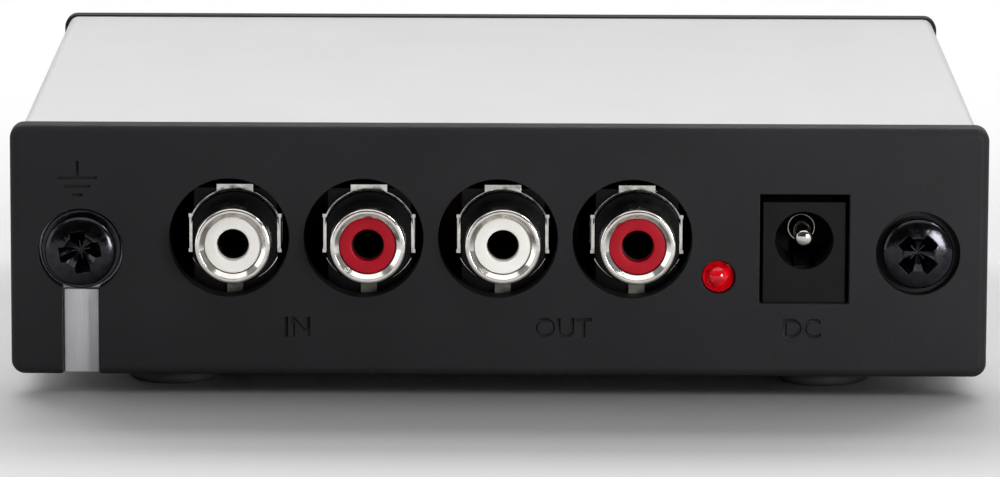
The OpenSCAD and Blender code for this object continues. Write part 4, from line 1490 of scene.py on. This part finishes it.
@dataclass
class PhonoSockets:
    """Four phono sockets in a row, white and red in turn."""

    count: int = 4
    moulded_edge: float = 0.2  # radius of the collars' and bodies' edges
    frame_edge: float = 0.09
    tab_t: float = 0.4  # thickness of a side tab
    tab_press: float = 0.09  # how far each face of a side tab is pressed in between its ends
    tab_flare: float = 0.4  # height of a side tab's unpressed ends
    tab_z: Point = (-1.88, 2.42)  # a side tab's lower and upper end, from the socket's axis
    press_over: float = 0.5  # how far a cutter stands out of the frame's side and front
    press_play: float = 0.02  # how far it stands out of a tab's inner face
    press_back: float = 0.6  # from the frame's back to where a tab's pressed faces end
    leg_top: float = 4.6  # from the socket's axis down to where a leg's painted shade starts
    outer: float = 4.15  # radius of a barrel
    lip: float = 0.3  # radius of a barrel's rounded lip
    mouth: float = 0.52  # width of the cone inside the lip
    mouth_len: float = 0.42  # depth of that cone
    cone_lip: float = 0.1  # radius of its outer edge
    fit: float = 0.05  # play between an insulator and its barrel
    undercut: float = 0.25  # how much thinner a barrel is in its collar
    rivet: float = 0.45  # wall of the riveted end behind the frame
    socket_d: float = 3.5  # diameter of an insulator's hole
    face_edge: float = 0.16  # radius of an insulator's edges
    pocket: float = 0.25  # how much wider the hole is where the contact sits
    pocket_start: float = 1.5
    pocket_end: float = 1.05  # from the insulator's back
    wire: float = 0.65  # radius of the hole in its back

    def nodes(self, part: str) -> list[str]:
        """Gives the CAD nodes of one part of every socket."""
        return [f"jack_{k}_{part}" for k in range(1, self.count + 1)]

    def build(self, lathe: Lathe, rows: RowMaker) -> None:
        """Makes all the sockets' parts.

        Args:
            lathe: the tool that turns round pieces.
            rows: the tool that repeats a piece in a row.
        """
        first, second = (Room.of(node) for node in self.nodes("barrel")[:2])
        self.pitch = second.centre - first.centre
        self.front = first.front
        self.build_barrels(lathe, first)
        self.build_insulators(lathe)
        for part, finish, radius in (("collar", SOCKET_PBT, self.moulded_edge),
                                     ("frame", SHEET_NICKEL, self.frame_edge),
                                     ("body", SOCKET_PBT, self.moulded_edge)):
            nodes = self.nodes(part)
            piece = merged_copy(nodes[0], f"socket_{part}s")
            if part == "frame":
                self.thin_tabs(piece, Room.of(nodes[0]))
                # Parts the frame where the legs' painted shade starts.
                part_at(piece, self.front.z - self.leg_top)
            round_edges(piece, radius, 3)
            shade(piece)
            rows.repeat(piece, finish, self.count, self.pitch)
            finish_piece(piece, finish, CASE_BODY, *nodes)
            # The legs get painted shade: a darker copy of the frames' nickel.
            if part == "frame":
                self.paint_leg_shade(piece)

    def paint_leg_shade(self, piece: Piece) -> None:
        """Paints shade on the frames' legs, below the round plates: a darker copy of the nickel.

        Args:
            piece: the frames.
        """
        piece.data.materials.append(LEG_PAINTED_SHADE.material())
        for face in piece.data.polygons:
            if face.center.z < (self.front.z - self.leg_top) * MM:
                face.material_index = 1

    def thin_tabs(self, piece: Piece, room: Room) -> None:
        """Presses the frame's side tabs thinner between their ends, as the punch leaves them.

        Args:
            piece: the first socket's frame.
            room: its room.
        """
        low, high = self.tab_z[0] + self.tab_flare, self.tab_z[1] - self.tab_flare
        faces = ((-self.press_over, self.tab_press),
                 (self.tab_t - self.tab_press, self.tab_t + self.press_play))
        for edge, way in ((room.low.x, 1), (room.high.x, -1)):
            for start, end in faces:
                xs = sorted((edge + way * start, edge + way * end))
                outline = box_outline(*xs, self.front.z + low, self.front.z + high)
                cut(piece, slab_from("press", outline, room.low.y - self.press_over,
                                     room.high.y - self.press_back))

    def build_barrels(self, lathe: Lathe, room: Room) -> None:
        """Turns the nickel barrels, from the bore round the lip to the flange and rivet.

        Args:
            lathe: the tool that turns round pieces.
            room: the first barrel's room.
        """
        insulator, collar, frame_room = (
            Room.of(f"jack_1_{part}") for part in ("insulator", "collar", "frame"))
        bore = insulator.size.x / 2 + self.fit
        collar_t, flange_t, frame_t = (
            y - room.low.y for y in (collar.low.y, collar.high.y, frame_room.low.y))
        end, flange, rivet = room.size.y, room.size.x / 2, bore + self.rivet
        outer, neck, crest = self.outer, self.outer - self.undercut, self.outer - self.lip
        profile = [(bore, end), (bore, self.mouth_len),
                   *arc(bore + self.mouth, self.cone_lip, self.cone_lip, 220, 270, 3),
                   *arc(crest, self.lip, self.lip, -90, 0, 7), (outer, collar_t), (neck, collar_t),
                   (neck, flange_t), (flange, flange_t), (flange, frame_t), (rivet, frame_t),
                   (rivet, end), (bore, end)]
        lathe.fit("socket_barrels", profile, BRIGHT_NICKEL, self.nodes("barrel"), self.front,
                  segments=96, count=self.count, step=self.pitch)

    def build_insulators(self, lathe: Lathe) -> None:
        """Turns the coloured insulators: white in the first and third socket, red in the others.

        Args:
            lathe: the tool that turns round pieces.
        """
        room = Room.of("jack_1_insulator")
        radius, edge, depth = room.size.x / 2, self.face_edge, room.size.y
        hole, wire = self.socket_d / 2, self.wire
        pocket, start, end = hole + self.pocket, self.pocket_start, depth - self.pocket_end
        profile = [(hole, edge), *arc(hole + edge, edge, edge, 180, 270, 4),
                   *arc(radius - edge, edge, edge, -90, 0, 4), (radius, depth), (wire, depth),
                   (wire, end), (pocket, end), (pocket, start), (hole, start), (hole, edge)]
        for name, skip, finish in (("white", 0, WHITE_PP), ("red", 1, RED_PP)):
            nodes = self.nodes("insulator")[skip::2]
            lathe.fit(f"socket_insulators_{name}", profile, finish, nodes,
                      room.front + self.pitch * skip, segments=96, count=len(nodes),
                      step=self.pitch * 2)


@dataclass
class PowerSocket:
    """The barrel power socket: its moulding, its centre pin and the strip behind it."""

    edge: float = 0.16  # radius of the moulding's edges
    pin_d: float = 2.0
    pin_top: float = 1.5  # from the pin node's top down to the pin's axis
    tip_len: float = 0.5  # length of the pin's domed tip
    tip_steps: int = 10
    tip_t: float = 0.8  # from the socket's face to the pin's tip
    hole_t: float = 9.5  # from the socket's face to the bottom of the hole
    flange_d: float = 3.2  # diameter of the pin's flange at the bottom of the hole
    flange_len: float = 0.8
    cup: float = 0.6  # how far the flange's rim stands up round the pin
    cup_floor: float = 0.3  # how far the cup's floor lies below the flange's shoulder
    cup_wall: float = 0.25  # height of its sloping wall
    bead: float = 0.14  # radius of the cup's rim
    rod_step: float = 0.1  # how much thinner the pin is behind the hole
    body_len: float = 14.0  # length of the moulding
    strip_t: float = 0.5
    strip_half: Point = (1.2, 0.5)  # half the strip's width above and through the board
    strip_gap: Point = (0.1, 0.2)  # how far over the board its wide part ends, and its narrow part

    def build(self, lathe: Lathe) -> None:
        """Makes the socket.

        Args:
            lathe: the tool that turns round pieces.
        """
        soften("power_body", "power_socket_body", POWER_PBT, self.edge)
        room, pin, board = (Room.of(node) for node in ("power_body", "power_pin", "circuit_board"))
        radius, flange = self.pin_d / 2, self.flange_d / 2
        rod, rim = radius - self.rod_step, flange - self.bead
        shoulder = self.hole_t - self.flange_len
        bead_t = shoulder - self.cup
        tip = [(radius * r, self.tip_t + self.tip_len * (1 + t))
               for r, t in arc(0.0, 0.0, 1.0, -90, 0, self.tip_steps)]
        profile = [*tip, (radius, shoulder + self.cup_floor),
                   (rim - self.bead, bead_t + self.cup_wall),
                   *arc(rim, bead_t, self.bead, -180, 0, 6), (flange, self.hole_t),
                   (rod, self.hole_t), (rod, self.body_len), (0.0, self.body_len)]
        axis = Vector((room.centre.x, room.low.y, pin.high.z - self.pin_top))
        turned = lathe.turn("power_pin_turned", profile, BRIGHT_NICKEL, axis, segments=64)
        over, through = (board.high.z + gap for gap in self.strip_gap)
        strips = [slab_from("strip", box_outline(axis.x - half, axis.x + half, low, high),
                            pin.high.y - self.strip_t, pin.high.y)
                  for half, low, high in ((self.strip_half[0], over, pin.high.z),
                                          (self.strip_half[1], pin.low.z, through))]
        piece = join("power_pin_and_strip", [turned, *strips])
        finish_piece(piece, BRIGHT_NICKEL, CASE_BODY, "power_pin")


@dataclass
class Indicator:
    """The red indicator: a 3 mm lens with a dome and a flange."""

    flange_len: float = 1.0  # length of the flange behind the lens
    flange_step: float = 0.4  # how far the flange stands out
    shoulder_step: float = 0.27  # how far the shoulder in the panel's hole stands out
    shoulder_t: float = 0.75  # from the dome's top to that shoulder
    shoulder_edge: float = 0.15

    def build(self, lathe: Lathe) -> None:
        """Turns the lens.

        Args:
            lathe: the tool that turns round pieces.
        """
        room = Room.of("led_lens")
        radius, length, edge = room.size.x / 2 - self.flange_step, room.size.y, self.shoulder_edge
        shoulder, flange, start = (
            radius + self.shoulder_step, radius + self.flange_step, length - self.flange_len)
        profile = [*arc(0.0, radius, radius, -90, -20, 16),
                   *arc(shoulder - edge, self.shoulder_t + edge, edge, -90, 0, 3),
                   (shoulder, start), (flange, start), (flange, length), (0.0, length)]
        lathe.fit("indicator_lens", profile, RED_EPOXY, ["led_lens"], room.front)


# ---- What stays as the CAD made it --------------------------------------------------


@dataclass
class InnerParts:
    """The CAD nodes that keep their own mesh and get a real finish."""

    def build(self) -> None:
        """Dresses every node that no piece stands for."""
        for name, node in sorted(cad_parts.items()):
            if node.hide_render:
                continue
            for slot in node.material_slots:
                finish = INNER_FINISHES[Slot(slot.material.name.split(".")[0])]
                slot.material = finish.material()
            log.info("%s keeps its mesh, in %s", name, finish.name)


def main() -> None:
    """Builds the scene: the studio, then the part from its case to its indicator."""
    logging.basicConfig(level=logging.INFO, format="%(name)s: %(message)s")
    bpy.context.scene.view_settings.view_transform = "Standard"
    PhotoCamera().stand()
    studio = Studio()
    studio.table()
    studio.light()
    lathe, rows, extruder = Lathe(), RowMaker(), Extruder()
    CaseSleeve().build(extruder)
    EndPanels().build()
    RubberFeet().build(lathe)
    PanScrew("case_screw", "case_screw_plated", CASE_BODY, 45.0).build(lathe)
    PanScrew("ground_screw", "ground_screw_plated", "ground_turn", 9.0).build(lathe)
    GroundTerminal().build(lathe)
    PhonoSockets().build(lathe, rows)
    PowerSocket().build(lathe)
    Indicator().build(lathe)
    InnerParts().build()


if __name__ == "__main__":
    main()
